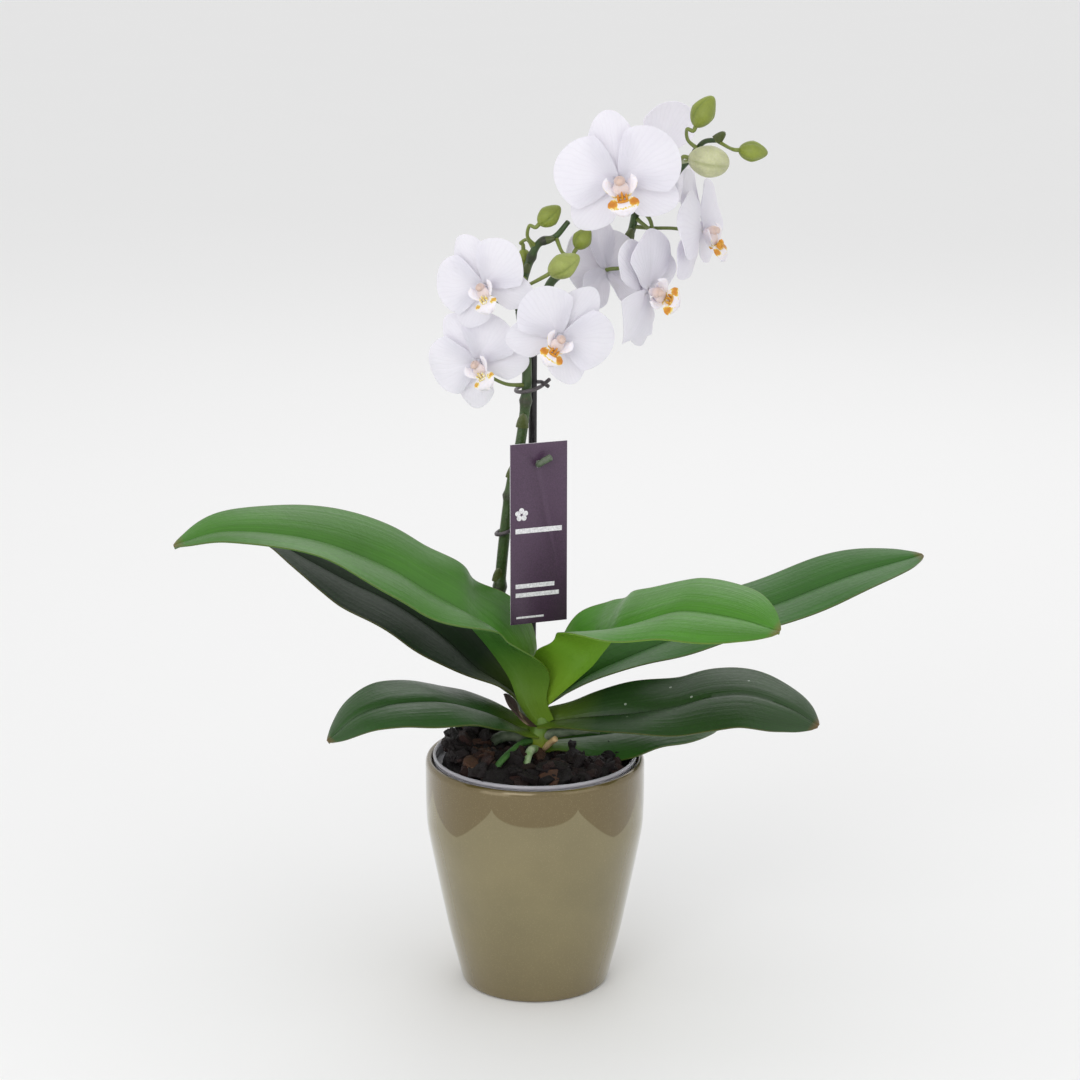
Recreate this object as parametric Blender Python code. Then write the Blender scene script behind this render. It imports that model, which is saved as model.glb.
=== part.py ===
"""Potted orchid: a moth orchid in a clear grow pot, standing in a glazed ceramic cover pot.

Metres, +Z up. The origin is the centre of the cover pot's flat base, and the front of the plant faces -Y.
Every piece that grows is placed by points in millimetres, with z counted from the cover pot's rim.
"""

import math
import random

import bmesh
import bpy
import numpy as np
from mathutils import Euler, Vector

MM = 0.001
GAP = 0.3  # between pieces that touch

# Cover pot, in millimetres
POT_HEIGHT = 140.0
POT_RIM_R = 65.0
POT_FOOT_R = 43.6
POT_WALL = 4.0
POT_FLOOR = 6.0
POT_LIP = 1.5
POT_CURVE = ((0.0, 0.0), (0.06, 0.11), (0.21, 0.35), (0.36, 0.55), (0.54, 0.78), (0.69, 0.96), (0.86, 1.0))

# Clear grow pot
GROW_WALL = 0.9
GROW_PROUD = 4.0
GROW_RIM_CLEARANCE = 0.4
GROW_RIM_STEP = 4.0
GROW_RIM_DEPTH = 9.0
GROW_FOOT_CLEARANCE = 3.5
DRAIN_HOLE_R = 3.5
DRAIN_HOLES = 5
DRAIN_RING_SHARE = 0.6

# Bark
BARK_SINK = 1.0
BARK_EASE = 0.5
BARK_SEED = 4

# Stem and what it carries
CROWN_X = 3.0
CROWN_R = 7.5
CROWN_TOP = 47.0
CROWN_FOOT = -24.0
LEAF_THICKNESS = 1.6
SPIKE_R = 3.4
SPIKE_TOP_R = 2.8
BRANCH_R = 2.6
BRANCH_TIP_R = 1.2
PEDICEL_R = 1.1
STALK_RUN_IN = 2.5
STAKE_R = 2.3
STAKE_FOOT = -70.0
STAKE_TOP = 244.0
CLIP_WIRE_R = 1.15
TAG_WIDTH = 35.0
TAG_HEIGHT = 108.0
TAG_THICKNESS = 0.8
TAG_HOLE_R = 2.2
PEG_R = 1.1

# One open flower, face on, at full size
PETAL_LENGTH = 37.5
PETAL_WIDTH = 42.0
SEPAL_LENGTH = 40.0
SEPAL_WIDTH = 27.0
TEPAL_THICKNESS = 0.8
TEPAL_STAGGER = 0.002  # depth for each degree of turn, so that no two tepals lie in one plane
HUB_R = 4.0
HUB_DEPTH = 4.0
COLUMN_R = 3.2
COLUMN_LENGTH = 9.0
BUD_TIP_NARROWING = 0.25

POT_SEGMENTS = 40
LIP_STEPS = 6


# ---------------------------------------------------------------- scene and materials


def clear_scene():
    for obj in list(bpy.data.objects):
        bpy.data.objects.remove(obj, do_unlink=True)


def finish(name, colour, roughness, metallic=0.0, transmission=0.0):
    """A plain Principled material, made once for each name."""
    if name in bpy.data.materials:
        return bpy.data.materials[name]
    material = bpy.data.materials.new(name)
    material.use_nodes = True
    shader = material.node_tree.nodes["Principled BSDF"]
    shader.inputs["Base Color"].default_value = (*colour, 1.0)
    shader.inputs["Roughness"].default_value = roughness
    shader.inputs["Metallic"].default_value = metallic
    shader.inputs["Transmission Weight"].default_value = transmission
    return material


def above_rim(point):
    """A point in millimetres from the rim's centre, as metres in the part's frame."""
    x, y, z = point
    return Vector((x, y, z + POT_HEIGHT)) * MM


# ---------------------------------------------------------------- makers


def object_from(bm, name, material):
    mesh = bpy.data.meshes.new(name)
    bm.to_mesh(mesh)
    bm.free()
    mesh.materials.append(material)
    mesh.shade_smooth()
    mesh.set_sharp_from_angle(angle=math.radians(50))
    obj = bpy.data.objects.new(name, mesh)
    bpy.context.scene.collection.objects.link(obj)
    return obj


def as_helper(obj):
    """A cutter or a guide: it shapes other pieces and isn't one itself."""
    obj.hide_render = True
    obj.display_type = "WIRE"
    return obj


def evaluated_mesh(obj):
    bpy.context.view_layer.update()
    graph = bpy.context.evaluated_depsgraph_get()
    return bpy.data.meshes.new_from_object(obj.evaluated_get(graph))


def closed_copy(obj, name, material):
    """The object's evaluated shape as a mesh object with its doubles merged, and the object removed."""
    bm = bmesh.new()
    bm.from_mesh(evaluated_mesh(obj))
    bmesh.ops.remove_doubles(bm, verts=bm.verts, dist=1e-6)
    bmesh.ops.recalc_face_normals(bm, faces=bm.faces)
    bpy.data.objects.remove(obj, do_unlink=True)
    return object_from(bm, name, material)


def boolean(obj, other, operation):
    modifier = obj.modifiers.new(f"{operation.lower()} {other.name}", "BOOLEAN")
    modifier.operation = operation
    modifier.solver = "EXACT"
    modifier.object = other


def fused(name, material, pieces):
    """Overlapping closed pieces made one body."""
    first, *others = pieces
    for other in others:
        boolean(first, other, "UNION")
    body = closed_copy(first, name, material)
    for other in others:
        bpy.data.objects.remove(other, do_unlink=True)
    return body


def turned(name, material, profile, segments=POT_SEGMENTS):
    """A profile of (radius, height) in metres, from axis to axis, spun about Z."""
    bm = bmesh.new()
    points = [bm.verts.new((radius, 0.0, height)) for radius, height in profile]
    edges = [bm.edges.new(pair) for pair in zip(points, points[1:])]
    bmesh.ops.spin(
        bm,
        geom=points + edges,
        cent=(0, 0, 0),
        axis=(0, 0, 1),
        angle=2 * math.pi,
        steps=segments,
        use_merge=True,
    )
    bmesh.ops.remove_doubles(bm, verts=bm.verts, dist=1e-6)
    bmesh.ops.recalc_face_normals(bm, faces=bm.faces)
    return object_from(bm, name, material)


def smooth_path(points, steps):
    """Points on a Catmull-Rom curve through the given points, with this many steps to a span."""
    knots = np.array([2 * np.array(points[0]) - points[1], *points, 2 * np.array(points[-1]) - points[-2]])
    path = []
    for a, b, c, d in zip(knots, knots[1:], knots[2:], knots[3:]):
        square = 2 * a - 5 * b + 4 * c - d
        cube = 3 * b - a - 3 * c + d
        for step in range(steps):
            t = step / steps
            path.append((2 * b + (c - a) * t + square * t**2 + cube * t**3) / 2)
    path.append(knots[-2])
    return np.array(path)


def tube(name, material, points, radii, steps=3, sides_level=2):
    """A round tube through points in millimetres above the rim. radii: the first and the last."""
    path = smooth_path(points, steps)
    curve = bpy.data.curves.new(name, "CURVE")
    curve.dimensions = "3D"
    curve.bevel_depth = MM
    curve.bevel_resolution = sides_level
    curve.use_fill_caps = True
    spline = curve.splines.new("POLY")
    spline.points.add(len(path) - 1)
    for point, place, radius in zip(spline.points, path, np.linspace(*radii, len(path))):
        point.co = (*above_rim(place), 1.0)
        point.radius = radius
    obj = bpy.data.objects.new(name, curve)
    bpy.context.scene.collection.objects.link(obj)
    return closed_copy(obj, name, material)


def sheet(name, material, surface, across, along, thickness):
    """A grid shaped by surface(u, v), u from 0 to 1 along it and v from -1 to 1 across, given a wall."""
    bm = bmesh.new()
    bmesh.ops.create_grid(bm, x_segments=along, y_segments=across, size=1.0)
    for vertex in bm.verts:
        vertex.co = surface((vertex.co.x + 1) / 2, vertex.co.y)
    obj = object_from(bm, name, material)
    wall = obj.modifiers.new("wall", "SOLIDIFY")
    wall.thickness = thickness * MM
    wall.offset = 0.0
    return obj


def ellipsoid(name, material, centre, radii, segments=8, rings=6):
    bm = bmesh.new()
    bmesh.ops.create_uvsphere(bm, u_segments=segments, v_segments=rings, radius=MM)
    bmesh.ops.scale(bm, verts=bm.verts, vec=radii)
    bmesh.ops.translate(bm, verts=bm.verts, vec=Vector(centre) * MM)
    return object_from(bm, name, material)


# ---------------------------------------------------------------- pots


def pot_radius(height):
    """The cover pot's outer radius at a height."""
    shares, out = zip(*POT_CURVE)
    return POT_FOOT_R + (POT_RIM_R - POT_FOOT_R) * float(np.interp(height / POT_HEIGHT, shares, out))


def ceramic_pot():
    heights = [share * POT_HEIGHT for share, _ in POT_CURVE if share < 1.0]
    outer = [(pot_radius(height), height) for height in heights]
    inner = [(radius - POT_WALL, height) for radius, height in outer if height > POT_FLOOR + POT_WALL]
    floor_r = pot_radius(POT_FLOOR) - POT_WALL
    middle = POT_RIM_R - POT_WALL / 2
    lip = []
    for step in range(LIP_STEPS + 1):
        angle = math.pi * step / LIP_STEPS
        height = POT_HEIGHT - POT_LIP + POT_LIP * math.sin(angle)
        lip.append((middle + POT_WALL / 2 * math.cos(angle), height))
    floor = [(floor_r - POT_WALL / 2, POT_FLOOR), (0.0, POT_FLOOR)]
    profile = [(0.0, 0.0), *outer, *lip, *reversed(inner), *floor]
    glaze = finish("olive_glaze", (0.21, 0.18, 0.09), 0.12, metallic=0.3)
    return turned("ceramic_pot", glaze, [(r * MM, z * MM) for r, z in profile])


def grow_pot_profile(inset):
    """The grow pot's wall from its floor to its rim, moved in by a distance."""
    rim_r = POT_RIM_R - POT_WALL - GROW_RIM_CLEARANCE - inset
    foot_r = POT_FOOT_R - POT_WALL - GROW_FOOT_CLEARANCE - inset
    shoulder = POT_HEIGHT + GROW_PROUD - GROW_RIM_DEPTH
    return foot_r, rim_r, shoulder


def grow_pot():
    foot_r, rim_r, shoulder = grow_pot_profile(0.0)
    foot = POT_FLOOR + GAP
    top = POT_HEIGHT + GROW_PROUD
    outside = [(foot_r, foot), (rim_r - GROW_RIM_STEP, shoulder - 1.0), (rim_r, shoulder), (rim_r, top)]
    inner_foot_r, inner_rim_r, _ = grow_pot_profile(GROW_WALL)
    inside = [
        (inner_rim_r, top),
        (inner_rim_r, shoulder + GROW_WALL),
        (inner_rim_r - GROW_RIM_STEP, shoulder - 1.0 + GROW_WALL),
        (inner_foot_r, foot + GROW_WALL),
    ]
    profile = [(0.0, foot), *outside, *inside, (0.0, foot + GROW_WALL)]
    plastic = finish("clear_plastic", (0.8, 0.8, 0.82), 0.25, transmission=0.6)
    pot = turned("grow_pot", plastic, [(r * MM, z * MM) for r, z in profile])
    for hole in range(DRAIN_HOLES):
        turn = 2 * math.pi * hole / DRAIN_HOLES
        bm = bmesh.new()
        bmesh.ops.create_cone(
            bm, cap_ends=True, segments=10, radius1=DRAIN_HOLE_R * MM, radius2=DRAIN_HOLE_R * MM, depth=4 * MM
        )
        reach = foot_r * DRAIN_RING_SHARE
        middle = Vector((reach * math.cos(turn), reach * math.sin(turn), foot))
        bmesh.ops.translate(bm, verts=bm.verts, vec=middle * MM)
        boolean(pot, as_helper(object_from(bm, f"drain_cutter_{hole}", plastic)), "DIFFERENCE")
    return pot


# ---------------------------------------------------------------- bark

# each chip: turn about the pot (degrees), share of the bark's radius, height above the rim, size, lie
BARK_CHIPS = (
    ("bark_chip_1", 176, 0.80, 7.0, (9.0, 6.0, 4.5), 20),
    ("bark_chip_2", 214, 0.66, 6.0, (8.0, 5.5, 4.0), 70),
    ("bark_chip_3", 287, 0.70, 4.0, (9.0, 5.0, 3.5), -15),
    ("bark_chip_4", 318, 0.62, 3.5, (7.0, 5.0, 3.5), 40),
)


def bark_radius():
    _, rim_r, _ = grow_pot_profile(GROW_WALL + GAP)
    return rim_r - GROW_RIM_STEP


def bark_height(x, y):
    """The bed's top above the rim: nearly level, rolling a little, and heaped at the left."""
    heap = 7.0 * math.exp(-(((x + 36) / 20) ** 2) - ((y + 4) / 26) ** 2)
    return -BARK_SINK + heap + 0.8 * math.sin(x / 7.0) * math.cos(y / 6.0)


def bark_bed(cutters):
    foot_r, _, shoulder = grow_pot_profile(GROW_WALL + GAP)
    foot = POT_FLOOR + 2 * GAP + GROW_WALL
    edge_r = bark_radius()
    side_r = edge_r - BARK_EASE
    profile = [(0.0, foot), (foot_r - BARK_EASE, foot), (side_r, shoulder - 2.0), (side_r, POT_HEIGHT - 3.0)]
    profile += [(edge_r * share, POT_HEIGHT) for share in (0.86, 0.66, 0.46, 0.26, 0.0)]
    bark = finish("bark", (0.05, 0.03, 0.022), 0.85)
    bed = turned("bark_bed", bark, [(r * MM, z * MM) for r, z in profile], segments=32)
    for vertex in bed.data.vertices:
        if vertex.co.z > (POT_HEIGHT - 0.1) * MM:
            vertex.co.z += bark_height(vertex.co.x / MM, vertex.co.y / MM) * MM
    for cutter in cutters:
        boolean(bed, cutter, "DIFFERENCE")
    return bed


def bark_chips():
    """The chips that lie on the bed, and their slightly larger cutters."""
    chance = random.Random(BARK_SEED)
    bark = finish("bark", (0.05, 0.03, 0.022), 0.85)
    cutters = []
    for name, turn, share, height, size, lie in BARK_CHIPS:
        bm = bmesh.new()
        bmesh.ops.create_icosphere(bm, subdivisions=1, radius=1.0)
        for vertex in bm.verts:
            vertex.co *= chance.uniform(0.85, 1.1)
        bmesh.ops.scale(bm, verts=bm.verts, vec=[side * MM for side in size])
        angle = math.radians(turn)
        reach = share * bark_radius()
        place = above_rim((reach * math.cos(angle), reach * math.sin(angle), height))
        chip = object_from(bm, name, bark)
        chip.location = place
        chip.rotation_euler = (0.1, -0.12, math.radians(lie))
        cutter = as_helper(bpy.data.objects.new(f"{name}_cutter", chip.data))
        bpy.context.scene.collection.objects.link(cutter)
        cutter.location = place
        cutter.rotation_euler = chip.rotation_euler
        cutter.scale = [1 + 2 * GAP / side for side in size]
        cutters.append(cutter)
    return cutters


# ---------------------------------------------------------------- crown, roots and stake


def crown_profile(extra):
    """The stem's outline from its buried foot to its domed top, let out by a distance."""
    shape = ((CROWN_FOOT, 0.0), (CROWN_FOOT, 0.75), (0.0, 0.95), (12.0, 1.0), (30.0, 1.0), (40.0, 0.85))
    outline = [(CROWN_R * share + (extra if share else 0.0), height) for height, share in shape]
    outline[0] = (0.0, CROWN_FOOT - extra)
    outline[1] = (outline[1][0], CROWN_FOOT - extra)
    outline.append((CROWN_R * 0.5 + extra, CROWN_TOP - 2.0))
    outline.append((0.0, CROWN_TOP + extra))
    return [(r * MM, (z + POT_HEIGHT) * MM) for r, z in outline]


def crown():
    green = finish("young_green", (0.18, 0.42, 0.03), 0.4)
    stem = turned("crown", green, crown_profile(0.0), segments=20)
    cutter = as_helper(turned("crown_cutter", green, crown_profile(GAP), segments=20))
    stem.location.x = CROWN_X * MM
    cutter.location.x = CROWN_X * MM
    return cutter


ROOTS = (
    ("root_long", ((2, 0, 9), (-6, -9, 10), (-12, -21, 10), (-20, -35, 5), (-27, -44, -3)), 2.5, 2.2),
    ("root_pale", ((3, 0, 2), (0, -10, 7), (-3, -20, 10), (-5, -29, 6), (-6, -33, -2)), 2.9, 2.6),
    ("root_grey", ((2, 0, 3), (-8, -2, 7), (-16, -4, 10), (-24, -6, 7), (-29, -7, 0)), 3.4, 3.2),
    ("root_right", ((3, 0, 8), (13, -8, 12), (23, -13, 13), (34, -17, 9), (41, -19, 0)), 2.6, 2.3),
    ("root_stub", ((3, 0, -6), (6, -11, -2), (11, -17, 9)), 3.0, 3.0),
)


def roots(crown_cutter):
    """Aerial roots that leave the crown and run over or into the bark, and their cutters."""
    colour = finish("root_skin", (0.25, 0.33, 0.22), 0.6)
    cutters = []
    for name, points, first_r, last_r in ROOTS:
        root = tube(name, colour, points, (first_r, last_r), sides_level=1)
        boolean(root, crown_cutter, "DIFFERENCE")
        cutter = tube(f"{name}_cutter", colour, points, (first_r + GAP, last_r + GAP), sides_level=1)
        cutters.append(as_helper(cutter))
    return cutters


STAKE_LINE = ((-2.6, 34.0), (-1.0, 22.5))  # x, y at its foot and at its top


def stake(extra=0.0):
    (foot_x, foot_y), (top_x, top_y) = STAKE_LINE
    line = ((foot_x, foot_y, STAKE_FOOT - extra), (top_x, top_y, STAKE_TOP + extra))
    black = finish("black_stake", (0.012, 0.01, 0.012), 0.35)
    name = "stake_cutter" if extra else "stake"
    return tube(name, black, line, (STAKE_R + extra, STAKE_R + extra), steps=1)


# ---------------------------------------------------------------- leaves

# half-width as a share of the widest, along the leaf from its clasping base to its tip
BROAD_LEAF = ((0.0, 0.3), (0.1, 0.42), (0.2, 0.62), (0.34, 0.86), (0.5, 0.98), (0.62, 1.0), (0.75, 0.96),
              (0.86, 0.8), (0.94, 0.52), (1.0, 0.06))
LONG_LEAF = ((0.0, 0.3), (0.1, 0.42), (0.2, 0.64), (0.34, 0.9), (0.5, 1.0), (0.62, 0.98), (0.75, 0.86),
             (0.86, 0.64), (0.94, 0.38), (1.0, 0.05))

# each leaf: outline, half-width, angles and midrib points. An angle entry is a share along the leaf, then how
# far the back half rises and the front half drops from level there, in degrees
LEAVES = {
    "leaf_1": (LONG_LEAF, 36, (
        (0.0, 72, -62), (0.12, 64, -54), (0.22, 52, -24), (0.32, 42, 2), (0.42, 35, 12), (0.6, 27, 8),
        (0.8, 22, -2)), (
        (2, -3, 18), (-4, -6, 27), (-9, -9, 37), (-14, -12, 53), (-24, -16, 70), (-34, -20, 84),
        (-44, -26, 98), (-64, -31, 112), (-84, -36, 126), (-115, -43, 141), (-143, -50, 149),
        (-175, -56, 152), (-196, -60, 147), (-202, -61, 145))),
    "leaf_2": (LONG_LEAF, 30, (
        (0.0, 70, -20), (0.12, 48, -15), (0.3, 30, 5), (0.6, 20, 8), (0.8, 15, -4), (1.0, 15, -10)), (
        (1, 5, 25), (-10, 9, 32), (-24, 9, 43), (-35, 10, 51), (-50, 14, 65), (-66, 20, 76), (-88, 27, 88),
        (-110, 36, 96), (-135, 44, 107), (-153, 50, 115), (-168, 54, 119))),
    "leaf_3": (LONG_LEAF, 26, ((0.0, 52, 8), (0.35, 16, 16), (0.8, 14, 16), (1.0, 8, 14)), (
        (1, 0, 14), (-10, -3, 18), (-21, -10, 26), (-34, -21, 35), (-54, -39, 46), (-74, -52, 50),
        (-88, -60, 50), (-102, -67, 46), (-117, -74, 34))),
    "leaf_4": (BROAD_LEAF, 33, (
        (0.0, 76, -76), (0.1, 70, -66), (0.2, 58, -44), (0.33, 42, -24), (0.42, 30, 2), (0.52, 23, 16)), (
        (5, -3, 35), (8, -9, 45), (12, -14, 56), (21, -24, 72), (33, -33, 82), (45, -42, 89), (73, -60, 105),
        (89, -70, 110), (117, -88, 110), (135, -97, 106))),
    "leaf_5": (BROAD_LEAF, 28, ((0.0, 70, -35), (0.12, 40, -15), (0.35, 20, 4), (1.0, 20, 4)), (
        (4, 2, 29), (14, 6, 34), (39, 15, 48), (89, 30, 65), (143, 45, 79), (191, 58, 94), (236, 71, 103))),
    "leaf_6": (BROAD_LEAF, 28, ((0.0, 52, 4), (0.3, 38, 8), (0.5, 26, 20), (0.65, 18, 26), (0.85, 10, 26)), (
        (2, 0, 20), (14, -2, 22), (31, -10, 27), (59, -20, 33), (81, -30, 40), (102, -36, 48), (124, -42, 51),
        (146, -50, 46), (162, -56, 37))),
    "leaf_7": (LONG_LEAF, 28, (
        (0.0, 30, 5), (0.15, 15, 12), (0.3, 8, 20), (0.55, 8, 8), (0.8, 8, 2), (1.0, 8, 0)), (
        (2, 1, 5), (14, 4, 8), (43, 9, 10), (69, 14, 12), (92, 18, 11), (110, 22, 9))),
}


def leaf_surface(outline, half_width, angles, spine):
    path = smooth_path(spine, 8)
    steps = np.linalg.norm(np.diff(path, axis=0), axis=1)
    length = np.concatenate([[0.0], np.cumsum(steps)])
    length /= length[-1]
    shares, widths = zip(*outline)
    stations, rises, drops = zip(*angles)

    def middle(u):
        return Vector([float(np.interp(u, length, path[:, axis])) for axis in range(3)])

    def surface(u, v):
        centre = middle(u)
        run = (middle(min(u + 0.02, 1.0)) - middle(max(u - 0.02, 0.0))).normalized()
        back = run.cross(Vector((0, 0, 1))).normalized()
        if back.y < 0:
            back.negate()
        up = back.cross(run).normalized()
        if up.z < 0:
            up.negate()
        angle = math.radians(float(np.interp(u, stations, rises if v >= 0 else drops)))
        reach = v * half_width * float(np.interp(u, shares, widths))
        return above_rim(centre + reach * (math.cos(angle) * back + math.sin(angle) * up))

    return surface


def leaves(crown_cutter):
    green = finish("leaf_green", (0.06, 0.2, 0.02), 0.35)
    for name, shape in LEAVES.items():
        leaf = sheet(name, green, leaf_surface(*shape), 4, 12, LEAF_THICKNESS)
        boolean(leaf, crown_cutter, "DIFFERENCE")


OLD_BRACT = ((0, -4, 20), (-7, -12, 26), (-12, -16, 34), (-18, -18, 44))


def old_bract(crown_cutter):
    brown = finish("dry_bract", (0.12, 0.06, 0.04), 0.8)
    surface = leaf_surface(LONG_LEAF, 4.0, ((0.0, 40, 20), (1.0, 40, 20)), OLD_BRACT)
    bract = sheet("old_bract", brown, surface, 2, 5, 0.8)
    boolean(bract, crown_cutter, "DIFFERENCE")


# ---------------------------------------------------------------- flowers and buds

# each flower: centre, size as a share of the full one, yaw to the right, pitch down, roll to the right
FLOWERS = {
    "a": ((47, -17, 345), 0.97, 0, -3, -10),
    "b": ((74, 70, 346), 0.88, -150, -8, 48),
    "c": ((95, 26, 309.5), 0.92, 66, -5, -8),
    "d": ((63, -2, 280), 0.92, 52, 4, -60),
    "e": ((40, 16, 288), 0.80, -135, 18, 0),
    "f": ((-28, -20, 286), 0.78, -22, 0, -28),
    "g": ((-32, -4, 239), 0.80, -18, 4, -38),
    "h": ((14, -30, 259), 0.82, 8, 4, 34),
}

# turn from straight up, and whether it is one of the two broad petals
TEPALS = ((0, False), (126, False), (-126, False), (65, True), (-65, True))
SEPAL_OUTLINE = ((0.0, 0.25), (0.25, 0.7), (0.55, 1.0), (0.85, 0.72), (1.0, 0.2))
PETAL_OUTLINE = ((0.0, 0.2), (0.2, 0.5), (0.55, 1.0), (0.85, 0.82), (1.0, 0.35))


def tepal_surface(turn, broad):
    length, width = (PETAL_LENGTH, PETAL_WIDTH) if broad else (SEPAL_LENGTH, SEPAL_WIDTH)
    shares, widths = zip(*(PETAL_OUTLINE if broad else SEPAL_OUTLINE))
    angle = math.radians(turn)
    depth = (-TEPAL_THICKNESS if broad else TEPAL_THICKNESS) + TEPAL_STAGGER * turn

    def surface(u, v):
        along = 1.5 + u * (length - 1.5)
        across = v * width / 2 * float(np.interp(u, shares, widths))
        x = along * math.sin(angle) + across * math.cos(angle)
        z = along * math.cos(angle) - across * math.sin(angle)
        cup = 2.5 * u * u * (-1 if broad else 1)
        return Vector((x, depth + cup, z)) * MM

    return surface


def hub(material):
    return ellipsoid("hub", material, (0, 0, 0), (HUB_R, HUB_DEPTH / 2, HUB_R))


def tepals_template(material):
    """Three sepals and two petals that meet in a small hub, facing -Y."""
    pieces = [hub(material)]
    for turn, broad in TEPALS:
        across = 4 if broad else 2
        surface = tepal_surface(turn, broad)
        pieces.append(sheet(f"tepal_{turn}", material, surface, across, 5, TEPAL_THICKNESS))
    return fused("tepals_template", material, pieces).data


def lip_surface(side):
    """The lip's middle lobe (side 0) or one of its two side lobes (side -1 or 1)."""

    def middle_lobe(u, v):
        along = 12.0 * u
        width = 5.0 * (0.55 + 0.6 * u - 0.9 * u * u)
        return Vector((v * width, -5.5 - along * 0.75, -3.5 - along * 0.8)) * MM

    def side_lobe(u, v):
        along = 9.0 * u
        width = 3.2 * (0.8 + 0.6 * u - u * u)
        return Vector((side * (1.5 + along * 0.75), -6.5 - 0.3 * along - v * width, -4.0 + along * 0.55)) * MM

    return side_lobe if side else middle_lobe


def lip_template(material):
    """The column and the three-lobed lip in front of the hub."""
    front = HUB_DEPTH / 2 + GAP
    column = ellipsoid(
        "column", material, (0, -front - COLUMN_LENGTH / 2, -1.5), (COLUMN_R, COLUMN_LENGTH / 2, COLUMN_R)
    )
    lobes = [sheet(f"lobe_{side}", material, lip_surface(side), 2, 3, TEPAL_THICKNESS) for side in (0, -1, 1)]
    return fused("lip_template", material, [column, *lobes]).data


def flower_turn(yaw, pitch, roll):
    return Euler((math.radians(pitch), math.radians(roll), math.radians(yaw)), "YXZ")


def flowers():
    white = finish("petal_white", (0.8, 0.79, 0.86), 0.5)
    orange = finish("lip_orange", (0.75, 0.45, 0.12), 0.45)
    tepals = tepals_template(white)
    lip = lip_template(orange)
    for template in (bpy.data.objects["tepals_template"], bpy.data.objects["lip_template"]):
        bpy.data.objects.remove(template, do_unlink=True)
    for letter, (centre, size, yaw, pitch, roll) in FLOWERS.items():
        for part, mesh in (("tepals", tepals), ("lip", lip)):
            obj = bpy.data.objects.new(f"flower_{letter}_{part}", mesh)
            obj.location = above_rim(centre)
            obj.rotation_mode = "YXZ"
            obj.rotation_euler = flower_turn(yaw, pitch, roll)
            obj.scale = (size, size, size)
            bpy.context.scene.collection.objects.link(obj)


def flower_back(letter):
    """The last two points of the stalk that meets this flower's hub squarely, clear of it by the gap."""
    centre, size, yaw, pitch, roll = FLOWERS[letter]
    behind = flower_turn(yaw, pitch, roll).to_matrix() @ Vector((0, 1, 0))
    end = Vector(centre) + behind * (HUB_DEPTH / 2 * size + GAP)
    return tuple(end + behind * STALK_RUN_IN), tuple(end)


# each bud: centre, length, width, direction of its tip
BUDS = {
    "bud_1": ((95, 10, 379), 19, 14, (0.45, -0.1, 0.85)),
    "bud_2": ((98, 0, 353), 24, 18, (1.0, -0.1, -0.15)),
    "bud_3": ((123, 10, 357), 16, 12, (1.0, 0.0, -0.1)),
    "bud_4": ((8, 0, 322), 15, 12, (0.7, 0.0, 0.6)),
    "bud_5": ((27, -2, 309), 13, 11, (0.5, 0.0, 0.8)),
    "bud_6": ((16, -19, 297), 19, 14.5, (0.8, -0.1, 0.5)),
    "bud_7": ((-6, 17, 295), 11, 8, (0.1, 0.1, -1.0)),
}


def buds():
    green = finish("bud_green", (0.35, 0.42, 0.09), 0.45)
    for name, (centre, length, width, direction) in BUDS.items():
        bm = bmesh.new()
        bmesh.ops.create_uvsphere(bm, u_segments=10, v_segments=8, radius=1.0)
        for vertex in bm.verts:
            x, y, z = vertex.co
            half = width / 2 * (1 - BUD_TIP_NARROWING * max(0.0, z))
            vertex.co = Vector((x * half, y * half, z * length / 2))
        bmesh.ops.scale(bm, verts=bm.verts, vec=(MM, MM, MM))
        bud = object_from(bm, name, green)
        bud.location = above_rim(centre)
        bud.rotation_mode = "QUATERNION"
        bud.rotation_quaternion = Vector(direction).normalized().to_track_quat("Z", "Y")


def bud_foot(name):
    """The last two points of the stalk that meets this bud along its own line, clear of it by the gap."""
    centre, length, _, direction = BUDS[name]
    tip_way = Vector(direction).normalized()
    end = Vector(centre) - tip_way * (length / 2 + GAP)
    return tuple(end - tip_way * STALK_RUN_IN), tuple(end)


# ---------------------------------------------------------------- flower spike

SPIKE = ((3, 3, 18), (-5, 15, 22), (-15, 27, 41), (-20.5, 30, 68), (-21.4, 28, 88), (-17.6, 22, 132),
         (-13.4, 20, 163), (-8.1, 18, 188), (-4.8, 16.5, 218), (-5.2, 16.5, 242), (-8.5, 17, 264))
LEFT_BRANCH = ((-9.3, 17.1, 269.5), (-7.2, 14, 280), (-2.9, 11, 294), (2.4, 8, 305), (11.5, 6, 309),
               (19, 4, 318))
RIGHT_BRANCH = ((-5.5, 16.8, 247), (-1, 22, 257), (5, 31, 268), (12, 38, 280), (35, 47, 291), (54, 46, 302),
                (60, 40, 321), (75, 36, 335), (89, 32, 350), (96, 26, 360), (104, 21, 362))

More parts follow.
